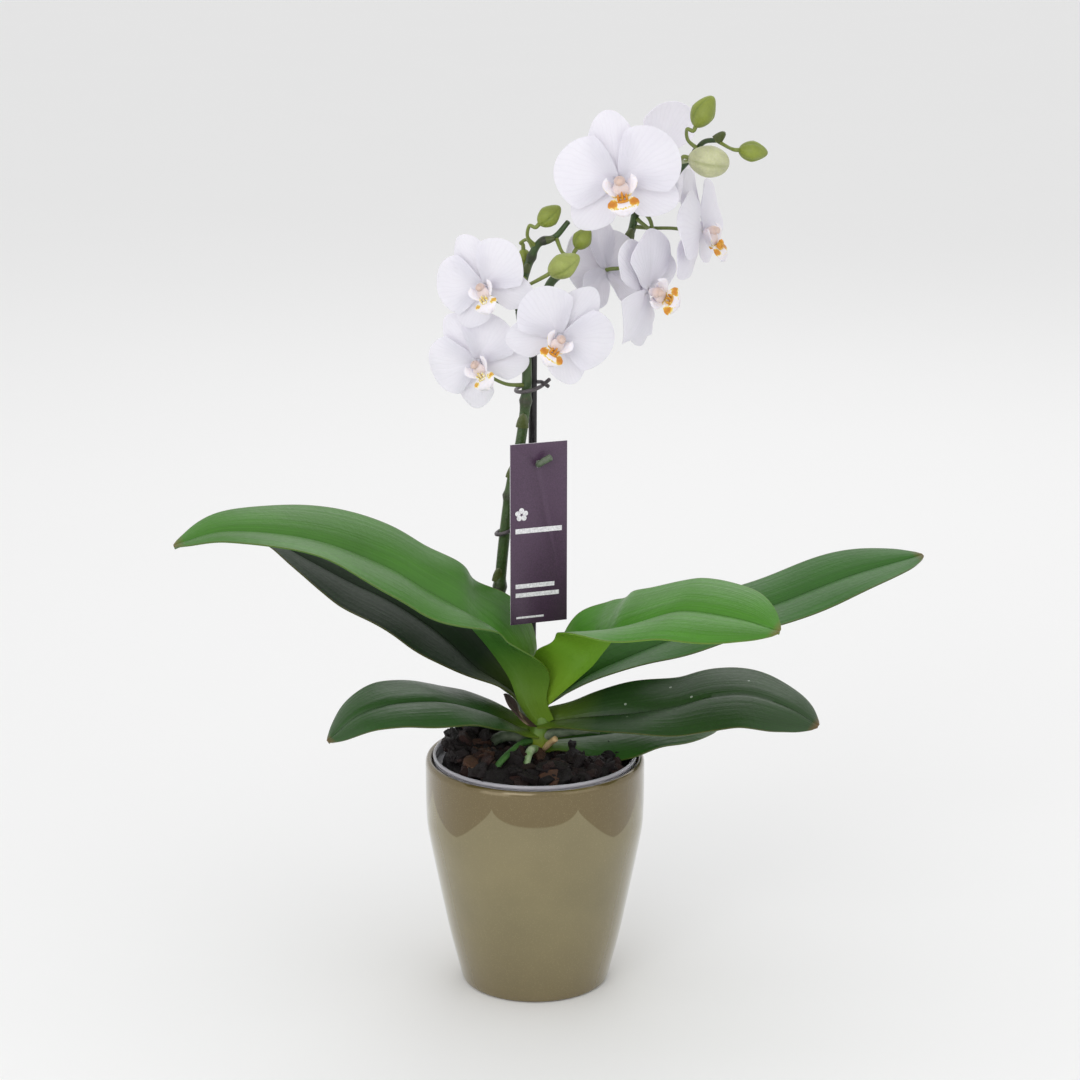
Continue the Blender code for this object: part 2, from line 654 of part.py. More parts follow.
# each stalk: the points between the branch it leaves and the flower or bud that it carries
SPIKE_STALKS = {"g": ((-5, 16, 221), (-17, 10, 223), (-28, 7, 230))}
LEFT_STALKS = {
    "f": ((-9, 16, 273), (-17, 5, 271), (-26, -8, 278)),
    "h": ((-8, 15, 277), (-2, 3, 270), (9, -14, 261)),
    "bud_4": ((1, 8.5, 303), (-4, 5, 309), (-3, 2, 316)),
    "bud_5": ((12, 6, 309), (16, -1, 301), (22, -3, 300)),
    "bud_6": ((-5.5, 13, 285), (-7, 0, 282), (-3, -12, 285)),
    "bud_7": ((0, 9, 300), (-4, 14, 306), (-8, 16, 304)),
}
RIGHT_STALKS = {
    "a": ((60, 40, 320), (58, 20, 330), (51, -4, 342)),
    "b": ((77, 36, 337), (84, 48, 340), (84, 62, 343)),
    "c": ((57, 44, 309), (67, 38, 309), (79, 31, 310)),
    "d": ((60, 40, 321), (67, 35, 313), (67, 24, 300), (60, 12, 288)),
    "e": ((59, 42, 314), (68, 22, 306), (57, 9, 293)),
    "bud_1": ((93, 29, 356), (87, 21, 362), (86, 14, 369)),
    "bud_2": ((88, 32, 349), (84, 18, 350), (83, 6, 353)),
    "bud_3": ((103, 21.5, 362), (109, 15, 359)),
}


def with_stalks(name, material, line, stem_radii, stalks):
    """A stem with the thin stalks that leave it, as one body."""
    pieces = [tube(f"{name}_stem", material, line, stem_radii)]
    for carried, points in stalks.items():
        ends = flower_back(carried) if carried in FLOWERS else bud_foot(carried)
        radii = (PEDICEL_R, PEDICEL_R)
        pieces.append(tube(f"{name}_{carried}", material, (*points, *ends), radii, sides_level=1))
    return fused(name, material, pieces)


def spike(crown_cutter):
    green = finish("stem_green", (0.06, 0.1, 0.02), 0.4)
    main = with_stalks("spike_main", green, SPIKE, (SPIKE_R, SPIKE_TOP_R), SPIKE_STALKS)
    boolean(main, crown_cutter, "DIFFERENCE")
    cutter = as_helper(tube("spike_cutter", green, SPIKE, (SPIKE_R + GAP, SPIKE_TOP_R + GAP)))
    top = Vector(SPIKE[-1])
    start = top + (top - Vector(SPIKE[-2])).normalized() * 2 * GAP
    with_stalks("spike_left", green, (tuple(start), *LEFT_BRANCH), (BRANCH_R, BRANCH_TIP_R), LEFT_STALKS)
    right = with_stalks("spike_right", green, RIGHT_BRANCH, (BRANCH_R, BRANCH_TIP_R), RIGHT_STALKS)
    boolean(right, cutter, "DIFFERENCE")


# ---------------------------------------------------------------- clips and tag


def ring_points(centre, radii, start, sweep, count):
    points = []
    for step in range(count + 1):
        angle = math.radians(start + sweep * step / count)
        x = centre[0] + radii[0] * math.cos(angle)
        y = centre[1] + radii[1] * math.sin(angle)
        points.append((x, y, centre[2] + 2.0 * math.cos(angle)))
    return points


def clips():
    """The wire that holds the spike to its stake, and a plain tie ring lower on the spike."""
    wire = finish("clip_wire", (0.07, 0.06, 0.065), 0.45)
    upper = ring_points((-3.0, 20.0, 219), (8.0, 10.5), 20, 318, 14)
    tails = [(8.5, 13.0, 225), *reversed(upper), (8.0, 21.0, 219)]
    tube("clip_upper", wire, tails, (CLIP_WIRE_R, CLIP_WIRE_R), steps=2, sides_level=1)
    lower = ring_points((-17.6, 22.0, 132), (5.2, 5.2), 40, 310, 10)
    tube("clip_lower", wire, lower, (CLIP_WIRE_R, CLIP_WIRE_R), steps=2, sides_level=1)


TAG_CENTRE = (2.2, -4.0, 137.5)
TAG_YAW = 20.0
TAG_HOLE_DROP = 12.5  # from the tag's top edge to the hole's centre
# right, back and up from the hole's centre, from the peg's bent nose to its hook round the stake
PEG_POINTS = ((7, -5, 5), (3, -4.2, 2.5), (0, -2.2, 0), (0, 2, 0), (0.6, 14, 0), (1.6, 24, 0), (0.6, 31, 0),
              (-3, 33.5, 0))


def tag():
    """A thin upright card with a round hole, and the peg that hangs it from the stake."""
    card = finish("tag_card", (0.065, 0.034, 0.065), 0.5)
    bm = bmesh.new()
    bmesh.ops.create_cube(bm, size=1.0)
    bmesh.ops.scale(bm, verts=bm.verts, vec=(TAG_WIDTH * MM, TAG_THICKNESS * MM, TAG_HEIGHT * MM))
    plate = object_from(bm, "tag", card)
    plate.location = above_rim(TAG_CENTRE)
    plate.rotation_euler = (0, 0, math.radians(TAG_YAW))
    hole_z = TAG_CENTRE[2] + TAG_HEIGHT / 2 - TAG_HOLE_DROP
    x, y = TAG_CENTRE[:2]
    line = ((x, y - 5, hole_z), (x, y + 5, hole_z))
    cutter = as_helper(tube("tag_hole_cutter", card, line, (TAG_HOLE_R, TAG_HOLE_R), steps=1))
    boolean(plate, cutter, "DIFFERENCE")
    grey = finish("peg_grey", (0.09, 0.11, 0.07), 0.5)
    peg = [(x + right, y + back, hole_z + up) for right, back, up in PEG_POINTS]
    tube("tag_peg", grey, peg, (PEG_R, PEG_R), steps=2, sides_level=1)


def main():
    clear_scene()
    ceramic_pot()
    grow_pot()
    crown_cutter = crown()
    leaves(crown_cutter)
    old_bract(crown_cutter)
    pockets = [crown_cutter, *roots(crown_cutter), as_helper(stake(GAP)), *bark_chips()]
    bark_bed(pockets)
    stake()
    spike(crown_cutter)
    clips()
    tag()
    flowers()
    buds()


main()
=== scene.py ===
"""Potted moth orchid: the plant's flowers, leaves, stems and pots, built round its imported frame."""

import math
import random

import bpy
import numpy as np
from mathutils import Euler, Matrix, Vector, noise


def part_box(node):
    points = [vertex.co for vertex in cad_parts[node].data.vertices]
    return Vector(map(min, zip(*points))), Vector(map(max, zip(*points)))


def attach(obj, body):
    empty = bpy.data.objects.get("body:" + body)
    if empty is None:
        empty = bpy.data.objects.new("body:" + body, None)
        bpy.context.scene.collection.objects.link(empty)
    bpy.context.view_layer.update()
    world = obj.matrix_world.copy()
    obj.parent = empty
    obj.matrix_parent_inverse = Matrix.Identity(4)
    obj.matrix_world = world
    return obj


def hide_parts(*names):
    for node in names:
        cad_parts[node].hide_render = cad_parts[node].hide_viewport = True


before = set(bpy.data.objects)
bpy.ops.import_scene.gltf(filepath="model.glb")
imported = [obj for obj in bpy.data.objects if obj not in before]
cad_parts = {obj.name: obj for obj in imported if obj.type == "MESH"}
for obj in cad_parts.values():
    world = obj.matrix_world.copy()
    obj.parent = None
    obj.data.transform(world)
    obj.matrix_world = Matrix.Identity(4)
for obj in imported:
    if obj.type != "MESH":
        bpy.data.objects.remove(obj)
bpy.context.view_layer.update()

bl_info = {
    "name": "Potted Moth Orchid",
    "version": (1, 0, 0),
    "blender": (4, 5, 0),
    "location": "View3D > Sidebar > Orchid",
    "description": "Builds a moth orchid in its grow pot and glazed cover pot",
    "category": "Add Mesh",
}

MM = 0.001
POT_LOW, POT_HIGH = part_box("ceramic_pot")
RIM_Z = POT_HIGH.z
POT_RIM_R = POT_HIGH.x
GROW_LOW, GROW_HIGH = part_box("grow_pot")
BARK_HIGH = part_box("bark_bed")[1]
CROWN_LOW, CROWN_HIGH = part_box("crown")


def tone(red, green, blue):
    """A display colour from 0 to 255 as the linear colour that shaders take."""
    shares = [value / 255 for value in (red, green, blue)]
    return tuple(s / 12.92 if s <= 0.04045 else ((s + 0.055) / 1.055) ** 2.4 for s in shares)


def above_rim(point):
    """A point in millimetres from the centre of the cover pot's rim, as metres in the frame."""
    x, y, z = point
    return Vector((x * MM, y * MM, z * MM + RIM_Z))


# ---------------------------------------------------------------- settings


def colour(name, description, default):
    return bpy.props.FloatVectorProperty(
        name=name, description=description, default=default, subtype="COLOR", size=3, min=0.0, max=1.0
    )


def length(name, description, default):
    return bpy.props.FloatProperty(name=name, description=description, default=default, unit="LENGTH", min=0.0)


class PotSettings(bpy.types.PropertyGroup):
    wall: length("Wall", "Thickness of the cover pot's wall", 4.0 * MM)
    foot_radius: length("Foot radius", "Radius of the cover pot's flat foot", 43.6 * MM)
    glaze: colour("Glaze", "Main colour of the glaze", tone(130, 120, 86))
    plastic: colour("Grow pot", "Colour of the clear grow pot", tone(226, 224, 232))


class BarkSettings(bpy.types.PropertyGroup):
    chips: bpy.props.IntProperty(name="Chips", description="Loose chips on the bed", default=430, min=10, max=900)
    seed: bpy.props.IntProperty(name="Seed", description="Layout of the chips", default=11)
    dark: colour("Dark bark", "Colour of the wet bark", tone(30, 21, 22))
    light: colour("Light bark", "Colour of the fresh broken bark", tone(128, 96, 66))


class LeafSettings(bpy.types.PropertyGroup):
    thickness: length("Thickness", "Leaf thickness at its midrib", 1.7 * MM)
    channel: length("Channel", "Depth of the groove along the midrib", 0.9 * MM)
    upper: colour("Upper face", "Colour of a young leaf's upper face", tone(72, 130, 36))
    aged: colour("Aged face", "Colour of an older leaf's upper face", tone(50, 88, 38))
    under: colour("Underside", "Colour of a leaf's underside", tone(54, 84, 44))


class StemSettings(bpy.types.PropertyGroup):
    stem: colour("Stem", "Colour of the flower spike", tone(62, 88, 40))
    node: colour("Node", "Colour of the spike's darker nodes", tone(48, 40, 34))
    crown: colour("Crown", "Colour of the short stem that carries the leaves", tone(112, 150, 44))
    root: colour("Root", "Colour of the roots' dry skin", tone(128, 138, 116))


class FlowerSettings(bpy.types.PropertyGroup):
    petal_length: length("Petal length", "Length of a broad petal", 38.0 * MM)
    petal_width: length("Petal width", "Width of a broad petal", 43.0 * MM)
    sepal_length: length("Sepal length", "Length of a sepal", 40.0 * MM)
    sepal_width: length("Sepal width", "Width of a sepal", 29.0 * MM)
    thickness: length("Thickness", "Thickness of a petal", 0.55 * MM)
    petal: colour("Petal", "Colour of the petals and sepals", tone(227, 224, 235))
    shade: colour("Petal shade", "Colour towards the petal's base and veins", tone(210, 204, 220))
    mark: colour("Lip mark", "Colour of the lip's orange marks", tone(214, 148, 30))
    bud: colour("Bud", "Colour of the closed buds", tone(136, 148, 54))


class TagSettings(bpy.types.PropertyGroup):
    card: colour("Card", "Colour of the tag's card", tone(68, 46, 69))
    print: colour("Print", "Colour of the bars and the small flower on it", tone(226, 224, 230))


class StageSettings(bpy.types.PropertyGroup):
    floor: colour("Floor", "Colour of the floor", tone(246, 246, 246))
    key: bpy.props.FloatProperty(name="Key light", description="Power of the main light", default=9.5, unit="POWER")
    ambient: bpy.props.FloatProperty(name="Ambient", description="Strength of the even light", default=0.85)


# ---------------------------------------------------------------- shader helpers


def node(tree, kind, at=(0, 0), **values):
    made = tree.nodes.new(kind)
    made.location = at
    for name, value in values.items():
        setattr(made, name, value)
    return made


def join(tree, source, target):
    tree.links.new(source, target)


def group_of(name, inputs, outputs):
    """An empty shader group with named sockets: (name, kind, default)."""
    tree = bpy.data.node_groups.new(name, "ShaderNodeTree")
    for label, kind, default in inputs:
        socket = tree.interface.new_socket(label, in_out="INPUT", socket_type=kind)
        if default is not None:
            socket.default_value = default
    for label, kind in outputs:
        tree.interface.new_socket(label, in_out="OUTPUT", socket_type=kind)
    return tree, node(tree, "NodeGroupInput", (-900, 0)), node(tree, "NodeGroupOutput", (700, 0))


def maths(tree, operation, first, second=None, clamp=False):
    """A Math node's output for sockets or plain numbers."""
    made = node(tree, "ShaderNodeMath", operation=operation, use_clamp=clamp)
    for socket, value in zip(made.inputs, (first, second)):
        if isinstance(value, (int, float)):
            socket.default_value = value
        elif value is not None:
            join(tree, value, socket)
    return made.outputs[0]


def mottle_group():
    """Soft uneven patches, for tone that drifts over a surface."""
    inputs = [("Vector", "NodeSocketVector", None), ("Scale", "NodeSocketFloat", 40.0), ("Contrast", "NodeSocketFloat", 1.0)]
    tree, given, out = group_of("Mottled tone", inputs, [("Tone", "NodeSocketFloat")])
    patches = node(tree, "ShaderNodeTexNoise")
    patches.inputs["Detail"].default_value = 3.0
    join(tree, given.outputs["Vector"], patches.inputs["Vector"])
    join(tree, given.outputs["Scale"], patches.inputs["Scale"])
    centred = maths(tree, "SUBTRACT", patches.outputs["Fac"], 0.5)
    spread = maths(tree, "MULTIPLY", centred, given.outputs["Contrast"])
    join(tree, maths(tree, "ADD", spread, 0.5, clamp=True), out.inputs["Tone"])
    return tree


def vein_group():
    """Fine lines that run along the first coordinate, spaced over the second, wavering a little."""
    inputs = [
        ("Vector", "NodeSocketVector", None),
        ("Lines", "NodeSocketFloat", 40.0),
        ("Waver", "NodeSocketFloat", 0.02),
        ("Sharpness", "NodeSocketFloat", 3.0),
    ]
    tree, given, out = group_of("Running veins", inputs, [("Lines", "NodeSocketFloat"), ("Streaks", "NodeSocketFloat")])
    parts = node(tree, "ShaderNodeSeparateXYZ")
    join(tree, given.outputs["Vector"], parts.inputs[0])
    drift = node(tree, "ShaderNodeTexNoise")
    drift.inputs["Scale"].default_value = 5.0
    join(tree, given.outputs["Vector"], drift.inputs["Vector"])
    sway = maths(tree, "MULTIPLY", maths(tree, "SUBTRACT", drift.outputs["Fac"], 0.5), given.outputs["Waver"])
    across = maths(tree, "ADD", parts.outputs["Y"], sway)
    phase = maths(tree, "MULTIPLY", across, given.outputs["Lines"])
    wave = maths(tree, "SINE", maths(tree, "MULTIPLY", phase, 2 * math.pi))
    lifted = maths(tree, "ADD", maths(tree, "MULTIPLY", wave, 0.5), 0.5)
    join(tree, maths(tree, "POWER", lifted, given.outputs["Sharpness"]), out.inputs["Lines"])
    stretched = node(tree, "ShaderNodeCombineXYZ")
    join(tree, maths(tree, "MULTIPLY", parts.outputs["X"], 1.6), stretched.inputs["X"])
    join(tree, maths(tree, "MULTIPLY", phase, 0.55), stretched.inputs["Y"])
    streaks = node(tree, "ShaderNodeTexNoise")
    streaks.inputs["Scale"].default_value = 1.0
    streaks.inputs["Detail"].default_value = 4.0
    join(tree, stretched.outputs[0], streaks.inputs["Vector"])
    join(tree, streaks.outputs["Fac"], out.inputs["Streaks"])
    return tree


def speck_group():
    """Small scattered specks on a plain ground."""
    inputs = [("Vector", "NodeSocketVector", None), ("Scale", "NodeSocketFloat", 300.0), ("Size", "NodeSocketFloat", 0.2)]
    tree, given, out = group_of("Scattered specks", inputs, [("Specks", "NodeSocketFloat")])
    cells = node(tree, "ShaderNodeTexVoronoi")
    join(tree, given.outputs["Vector"], cells.inputs["Vector"])
    join(tree, given.outputs["Scale"], cells.inputs["Scale"])
    near = maths(tree, "LESS_THAN", cells.outputs["Distance"], given.outputs["Size"])
    kept = node(tree, "ShaderNodeSeparateXYZ")
    join(tree, cells.outputs["Color"], kept.inputs[0])
    some = maths(tree, "GREATER_THAN", kept.outputs["X"], 0.6)
    join(tree, maths(tree, "MULTIPLY", near, some), out.inputs["Specks"])
    return tree


def placed_group(tree, name, vector, **values):
    """A group node in a material, fed by a coordinate and given its own values."""
    makers = {"Mottled tone": mottle_group, "Running veins": vein_group, "Scattered specks": speck_group}
    made = node(tree, "ShaderNodeGroup")
    made.node_tree = bpy.data.node_groups.get(name) or makers[name]()
    join(tree, vector, made.inputs["Vector"])
    for label, value in values.items():
        made.inputs[label].default_value = value
    return made


def ramp(tree, source, *stops):
    """A colour ramp: each stop is a place and a linear colour."""
    made = node(tree, "ShaderNodeValToRGB")
    join(tree, source, made.inputs["Fac"])
    elements = made.color_ramp.elements
    while len(elements) < len(stops):
        elements.new(0.5)
    for element, (place, shade) in zip(elements, stops):
        element.position = place
        element.color = (*shade, 1.0)
    return made.outputs["Color"]


def mix(tree, share, first, second, blend="MIX"):
    """A colour mix of sockets or plain linear colours."""
    made = node(tree, "ShaderNodeMix", data_type="RGBA", blend_type=blend)
    for socket, value in ((made.inputs["Factor"], share), (made.inputs[6], first), (made.inputs[7], second)):
        if isinstance(value, (int, float)):
            socket.default_value = value
        elif isinstance(value, tuple):
            socket.default_value = (*value, 1.0)
        else:
            join(tree, value, socket)
    return made.outputs[2]


def spread(tree, source, low, high):
    """A 0 to 1 value carried to another range."""
    made = node(tree, "ShaderNodeMapRange")
    made.inputs["To Min"].default_value = low
    made.inputs["To Max"].default_value = high
    join(tree, source, made.inputs["Value"])
    return made.outputs[0]


def begin(name, roughness, **sockets):
    """A Principled material with its even values set on the shader: (material, tree, shader, coordinates)."""
    material = bpy.data.materials.new(name)
    material.use_nodes = True
    tree = material.node_tree
    shader = tree.nodes["Principled BSDF"]
    shader.inputs["Roughness"].default_value = roughness
    for label, value in sockets.items():
        shader.inputs[label.replace("_", " ")].default_value = value
    return material, tree, shader, node(tree, "ShaderNodeTexCoord", (-1200, 0))


def relief(tree, shader, height, depth):
    """Sends a height through a Bump node to the shader's normal."""
    bump = node(tree, "ShaderNodeBump", (-200, -300))
    bump.inputs["Distance"].default_value = depth
    join(tree, height, bump.inputs["Height"])
    join(tree, bump.outputs["Normal"], shader.inputs["Normal"])


def once(maker):
    """Keeps the material that a maker builds, by its arguments, so that each is made once."""
    made = {}

    def kept(*values):
        if values not in made:
            made[values] = maker(*values)
        return made[values]

    return kept


def mine(group):
    return getattr(bpy.context.scene, f"orchid_{group}")


# ---------------------------------------------------------------- finishes


@once
def glaze_finish():
    material, tree, shader, where = begin("olive_gold_glaze", 0.16, Coat_Weight=0.6, Coat_Roughness=0.06, Metallic=0.35)
    body = mine("pot").glaze
    drift = placed_group(tree, "Mottled tone", where.outputs["Object"], Scale=22.0, Contrast=1.3)
    deep = tuple(0.8 * part for part in body)
    pale = tuple(min(1.0, 1.12 * part) for part in body)
    base = mix(tree, drift.outputs["Tone"], deep, pale)
    place = node(tree, "ShaderNodeSeparateXYZ")
    join(tree, where.outputs["Object"], place.inputs[0])
    share = maths(tree, "MULTIPLY", place.outputs["Z"], 1 / RIM_Z)
    low = maths(tree, "SUBTRACT", 1.0, maths(tree, "MULTIPLY", share, 2.4), clamp=True)
    base = mix(tree, maths(tree, "MULTIPLY", low, 0.45), base, tone(106, 90, 58))
    # painted reflection: dark scalloped lobes below the rim, deeper at the sides, stand for the leaves mirrored in the
    # glaze and are painted into its colour
    around = maths(tree, "ARCTAN2", place.outputs["X"], maths(tree, "MULTIPLY", place.outputs["Y"], -1.0))
    reflection_scallop = maths(tree, "ABSOLUTE", maths(tree, "COSINE", maths(tree, "MULTIPLY", around, 4.0)))
    reflection_scallop = maths(tree, "POWER", reflection_scallop, 0.62)
    sideways = maths(tree, "MULTIPLY", maths(tree, "POWER", maths(tree, "SINE", around), 2.0), 2.0, clamp=True)
    drop = maths(tree, "ADD", 10.0, maths(tree, "MULTIPLY", sideways, 13.0))
    edge = maths(tree, "ADD", maths(tree, "MULTIPLY", reflection_scallop, drop), 11.5)
    below = maths(tree, "MULTIPLY", maths(tree, "SUBTRACT", RIM_Z, place.outputs["Z"]), 1 / MM)
    band = maths(tree, "ADD", maths(tree, "MULTIPLY", maths(tree, "SUBTRACT", edge, below), 0.9), 0.5, clamp=True)
    base = mix(tree, maths(tree, "MULTIPLY", band, 0.85), base, tone(100, 84, 46))
    fine = placed_group(tree, "Scattered specks", where.outputs["Object"], Scale=1500.0, Size=0.3)
    join(tree, mix(tree, maths(tree, "MULTIPLY", fine.outputs["Specks"], 0.12), base, tone(214, 200, 150)), shader.inputs["Base Color"])
    join(tree, spread(tree, drift.outputs["Tone"], 0.12, 0.2), shader.inputs["Roughness"])
    skin = placed_group(tree, "Mottled tone", where.outputs["Object"], Scale=160.0, Contrast=1.0)
    relief(tree, shader, skin.outputs["Tone"], 0.00006)
    return material


@once
def plastic_finish():
    material, tree, shader, where = begin("clear_grow_pot", 0.22, Transmission_Weight=0.55, IOR=1.49)
    drift = placed_group(tree, "Mottled tone", where.outputs["Object"], Scale=90.0, Contrast=1.0)
    body = mine("pot").plastic
    join(tree, mix(tree, drift.outputs["Tone"], tuple(0.86 * part for part in body), tuple(body)), shader.inputs["Base Color"])
    join(tree, spread(tree, drift.outputs["Tone"], 0.16, 0.32), shader.inputs["Roughness"])
    relief(tree, shader, drift.outputs["Tone"], 0.0001)
    return material


@once
def bark_finish():
    material, tree, shader, where = begin("broken_bark", 0.8, Specular_IOR_Level=0.3)
    piece = node(tree, "ShaderNodeAttribute", attribute_name="chip_tone")
    drift = placed_group(tree, "Mottled tone", where.outputs["Object"], Scale=260.0, Contrast=1.6)
    dark, light = tuple(mine("bark").dark), tuple(mine("bark").light)
    red = tone(58, 36, 31)
    base = ramp(tree, piece.outputs["Fac"], (0.0, tuple(0.45 * part for part in dark)), (0.42, dark), (0.7, red), (0.9, tone(92, 64, 46)), (1.0, light))
    worn = mix(tree, drift.outputs["Tone"], tuple(0.25 for _ in range(3)), (1.0, 1.0, 1.0))
    join(tree, mix(tree, 0.75, base, worn, "MULTIPLY"), shader.inputs["Base Color"])
    join(tree, spread(tree, drift.outputs["Tone"], 0.5, 0.9), shader.inputs["Roughness"])
    grain = node(tree, "ShaderNodeTexNoise")
    grain.inputs["Scale"].default_value = 700.0
    grain.inputs["Detail"].default_value = 5.0
    join(tree, where.outputs["Object"], grain.inputs["Vector"])
    relief(tree, shader, grain.outputs["Fac"], 0.0009)
    return material


@once
def leaf_finish(name, upper, under, sheen_rough, young, specular=0.36):
    """A leaf's waxy skin: fine lengthwise veins, a darker midrib line and a yellower clasping base."""
    material, tree, shader, where = begin(name, sheen_rough, Coat_Weight=0.03, Coat_Roughness=0.3, Subsurface_Weight=0.05, Specular_IOR_Level=specular)
    shader.inputs["Subsurface Radius"].default_value = (0.6, 1.0, 0.25)
    shader.inputs["Subsurface Scale"].default_value = 0.004
    veins = placed_group(tree, "Running veins", where.outputs["UV"], Lines=34.0, Waver=0.02, Sharpness=2.0)
    drift = placed_group(tree, "Mottled tone", where.outputs["Object"], Scale=26.0, Contrast=1.5)
    grain = placed_group(tree, "Mottled tone", where.outputs["Object"], Scale=420.0, Contrast=1.2)
    place = node(tree, "ShaderNodeSeparateXYZ")
    join(tree, where.outputs["UV"], place.inputs[0])
    along, across = place.outputs["X"], place.outputs["Y"]
    deep = tuple(0.72 * part for part in upper)
    pale = tuple(min(1.0, 1.22 * part) for part in upper)
    face = mix(tree, drift.outputs["Tone"], deep, pale)
    face = mix(tree, maths(tree, "MULTIPLY", veins.outputs["Streaks"], 0.8), face, tuple(0.5 * part for part in upper))
    face = mix(tree, maths(tree, "MULTIPLY", veins.outputs["Lines"], 0.10), face, pale)
    face = mix(tree, maths(tree, "MULTIPLY", grain.outputs["Tone"], 0.22), face, tuple(0.55 * part for part in upper))
    off_middle = maths(tree, "ABSOLUTE", maths(tree, "SUBTRACT", across, 0.5))
    rib = maths(tree, "SUBTRACT", 1.0, maths(tree, "MULTIPLY", off_middle, 55.0), clamp=True)
    face = mix(tree, maths(tree, "MULTIPLY", rib, 0.55), face, tuple(0.45 * part for part in upper))
    base = maths(tree, "SUBTRACT", 1.0, maths(tree, "MULTIPLY", along, 4.2), clamp=True)
    face = mix(tree, maths(tree, "MULTIPLY", base, young), face, tone(132, 160, 34))
    tip = maths(tree, "MULTIPLY", maths(tree, "SUBTRACT", along, 0.975), 40.0, clamp=True)
    face = mix(tree, maths(tree, "MULTIPLY", tip, 0.7), face, tone(120, 84, 50))
    rim = maths(tree, "MULTIPLY", maths(tree, "SUBTRACT", off_middle, 0.488), 80.0, clamp=True)
    face = mix(tree, maths(tree, "MULTIPLY", rim, 0.45), face, tone(104, 88, 36))
    side = node(tree, "ShaderNodeAttribute", attribute_name="underside")
    back = mix(tree, drift.outputs["Tone"], tuple(0.8 * part for part in under), under)
    back = mix(tree, maths(tree, "MULTIPLY", base, young), back, tone(128, 158, 44))
    join(tree, mix(tree, side.outputs["Fac"], face, back), shader.inputs["Base Color"])
    uneven = spread(tree, grain.outputs["Tone"], sheen_rough - 0.06, sheen_rough + 0.1)
    join(tree, uneven, shader.inputs["Roughness"])
    ridges = maths(tree, "ADD", maths(tree, "MULTIPLY", veins.outputs["Streaks"], 0.9), maths(tree, "MULTIPLY", grain.outputs["Tone"], 0.35))
    relief(tree, shader, ridges, 0.0004)
    return material


@once
def dusted_leaf_finish():
    """An old leaf with a few white water specks."""
    material = leaf_finish("aged_leaf_low", tone(44, 74, 34), tuple(mine("leaf").under), 0.36, 0.4)
    tree = material.node_tree
    shader = tree.nodes["Principled BSDF"]
    where = node(tree, "ShaderNodeTexCoord")
    specks = placed_group(tree, "Scattered specks", where.outputs["Object"], Scale=110.0, Size=0.09)
    before = shader.inputs["Base Color"].links[0].from_socket
    join(tree, mix(tree, maths(tree, "MULTIPLY", specks.outputs["Specks"], 0.6), before, tone(178, 186, 176)), shader.inputs["Base Color"])
    return material


@once
def crown_finish():
    material, tree, shader, where = begin("young_stem_green", 0.42, Coat_Weight=0.15, Coat_Roughness=0.3, Subsurface_Weight=0.12)
    shader.inputs["Subsurface Radius"].default_value = (0.7, 1.0, 0.3)
    shader.inputs["Subsurface Scale"].default_value = 0.004
    body = tuple(mine("stem").crown)
    drift = placed_group(tree, "Mottled tone", where.outputs["Object"], Scale=90.0, Contrast=1.8)
    fine = placed_group(tree, "Mottled tone", where.outputs["Object"], Scale=600.0, Contrast=1.2)
    face = mix(tree, drift.outputs["Tone"], tuple(0.5 * part for part in body), body)
    face = mix(tree, maths(tree, "MULTIPLY", fine.outputs["Tone"], 0.3), face, tone(70, 108, 26))
    height = node(tree, "ShaderNodeSeparateXYZ")
    join(tree, where.outputs["Object"], height.inputs[0])
    low = node(tree, "ShaderNodeMapRange")
    low.inputs["From Min"].default_value = RIM_Z + 0.016
    low.inputs["From Max"].default_value = RIM_Z + 0.002
    join(tree, height.outputs["Z"], low.inputs["Value"])
    face = mix(tree, maths(tree, "MULTIPLY", low.outputs[0], 0.55), face, tone(176, 170, 40))
    join(tree, face, shader.inputs["Base Color"])
    relief(tree, shader, drift.outputs["Tone"], 0.0004)
    return material


@once
def root_finish(name, skin, flush):
    """A root's papery skin, silvery with green showing through."""
    material, tree, shader, where = begin(name, 0.62)
    drift = placed_group(tree, "Mottled tone", where.outputs["Object"], Scale=110.0, Contrast=2.4)
    fine = placed_group(tree, "Mottled tone", where.outputs["Object"], Scale=700.0, Contrast=1.6)
    face = mix(tree, drift.outputs["Tone"], flush, skin)
    face = mix(tree, maths(tree, "MULTIPLY", fine.outputs["Tone"], 0.3), face, tuple(0.55 * part for part in skin))
    join(tree, face, shader.inputs["Base Color"])
    relief(tree, shader, fine.outputs["Tone"], 0.0003)
    return material


@once
def bract_finish():
    material, tree, shader, where = begin("dry_bract", 0.8)
    veins = placed_group(tree, "Running veins", where.outputs["UV"], Lines=12.0, Waver=0.06, Sharpness=2.0)
    place = node(tree, "ShaderNodeSeparateXYZ")
    join(tree, where.outputs["UV"], place.inputs[0])
    band = ramp(tree, place.outputs["X"], (0.0, tone(96, 70, 56)), (0.34, tone(86, 60, 50)), (0.42, tone(160, 140, 112)), (0.52, tone(110, 84, 70)), (0.6, tone(66, 44, 42)), (1.0, tone(52, 34, 34)))
    join(tree, mix(tree, maths(tree, "MULTIPLY", veins.outputs["Streaks"], 0.6), band, tone(40, 28, 26)), shader.inputs["Base Color"])
    relief(tree, shader, veins.outputs["Lines"], 0.0004)
    return material


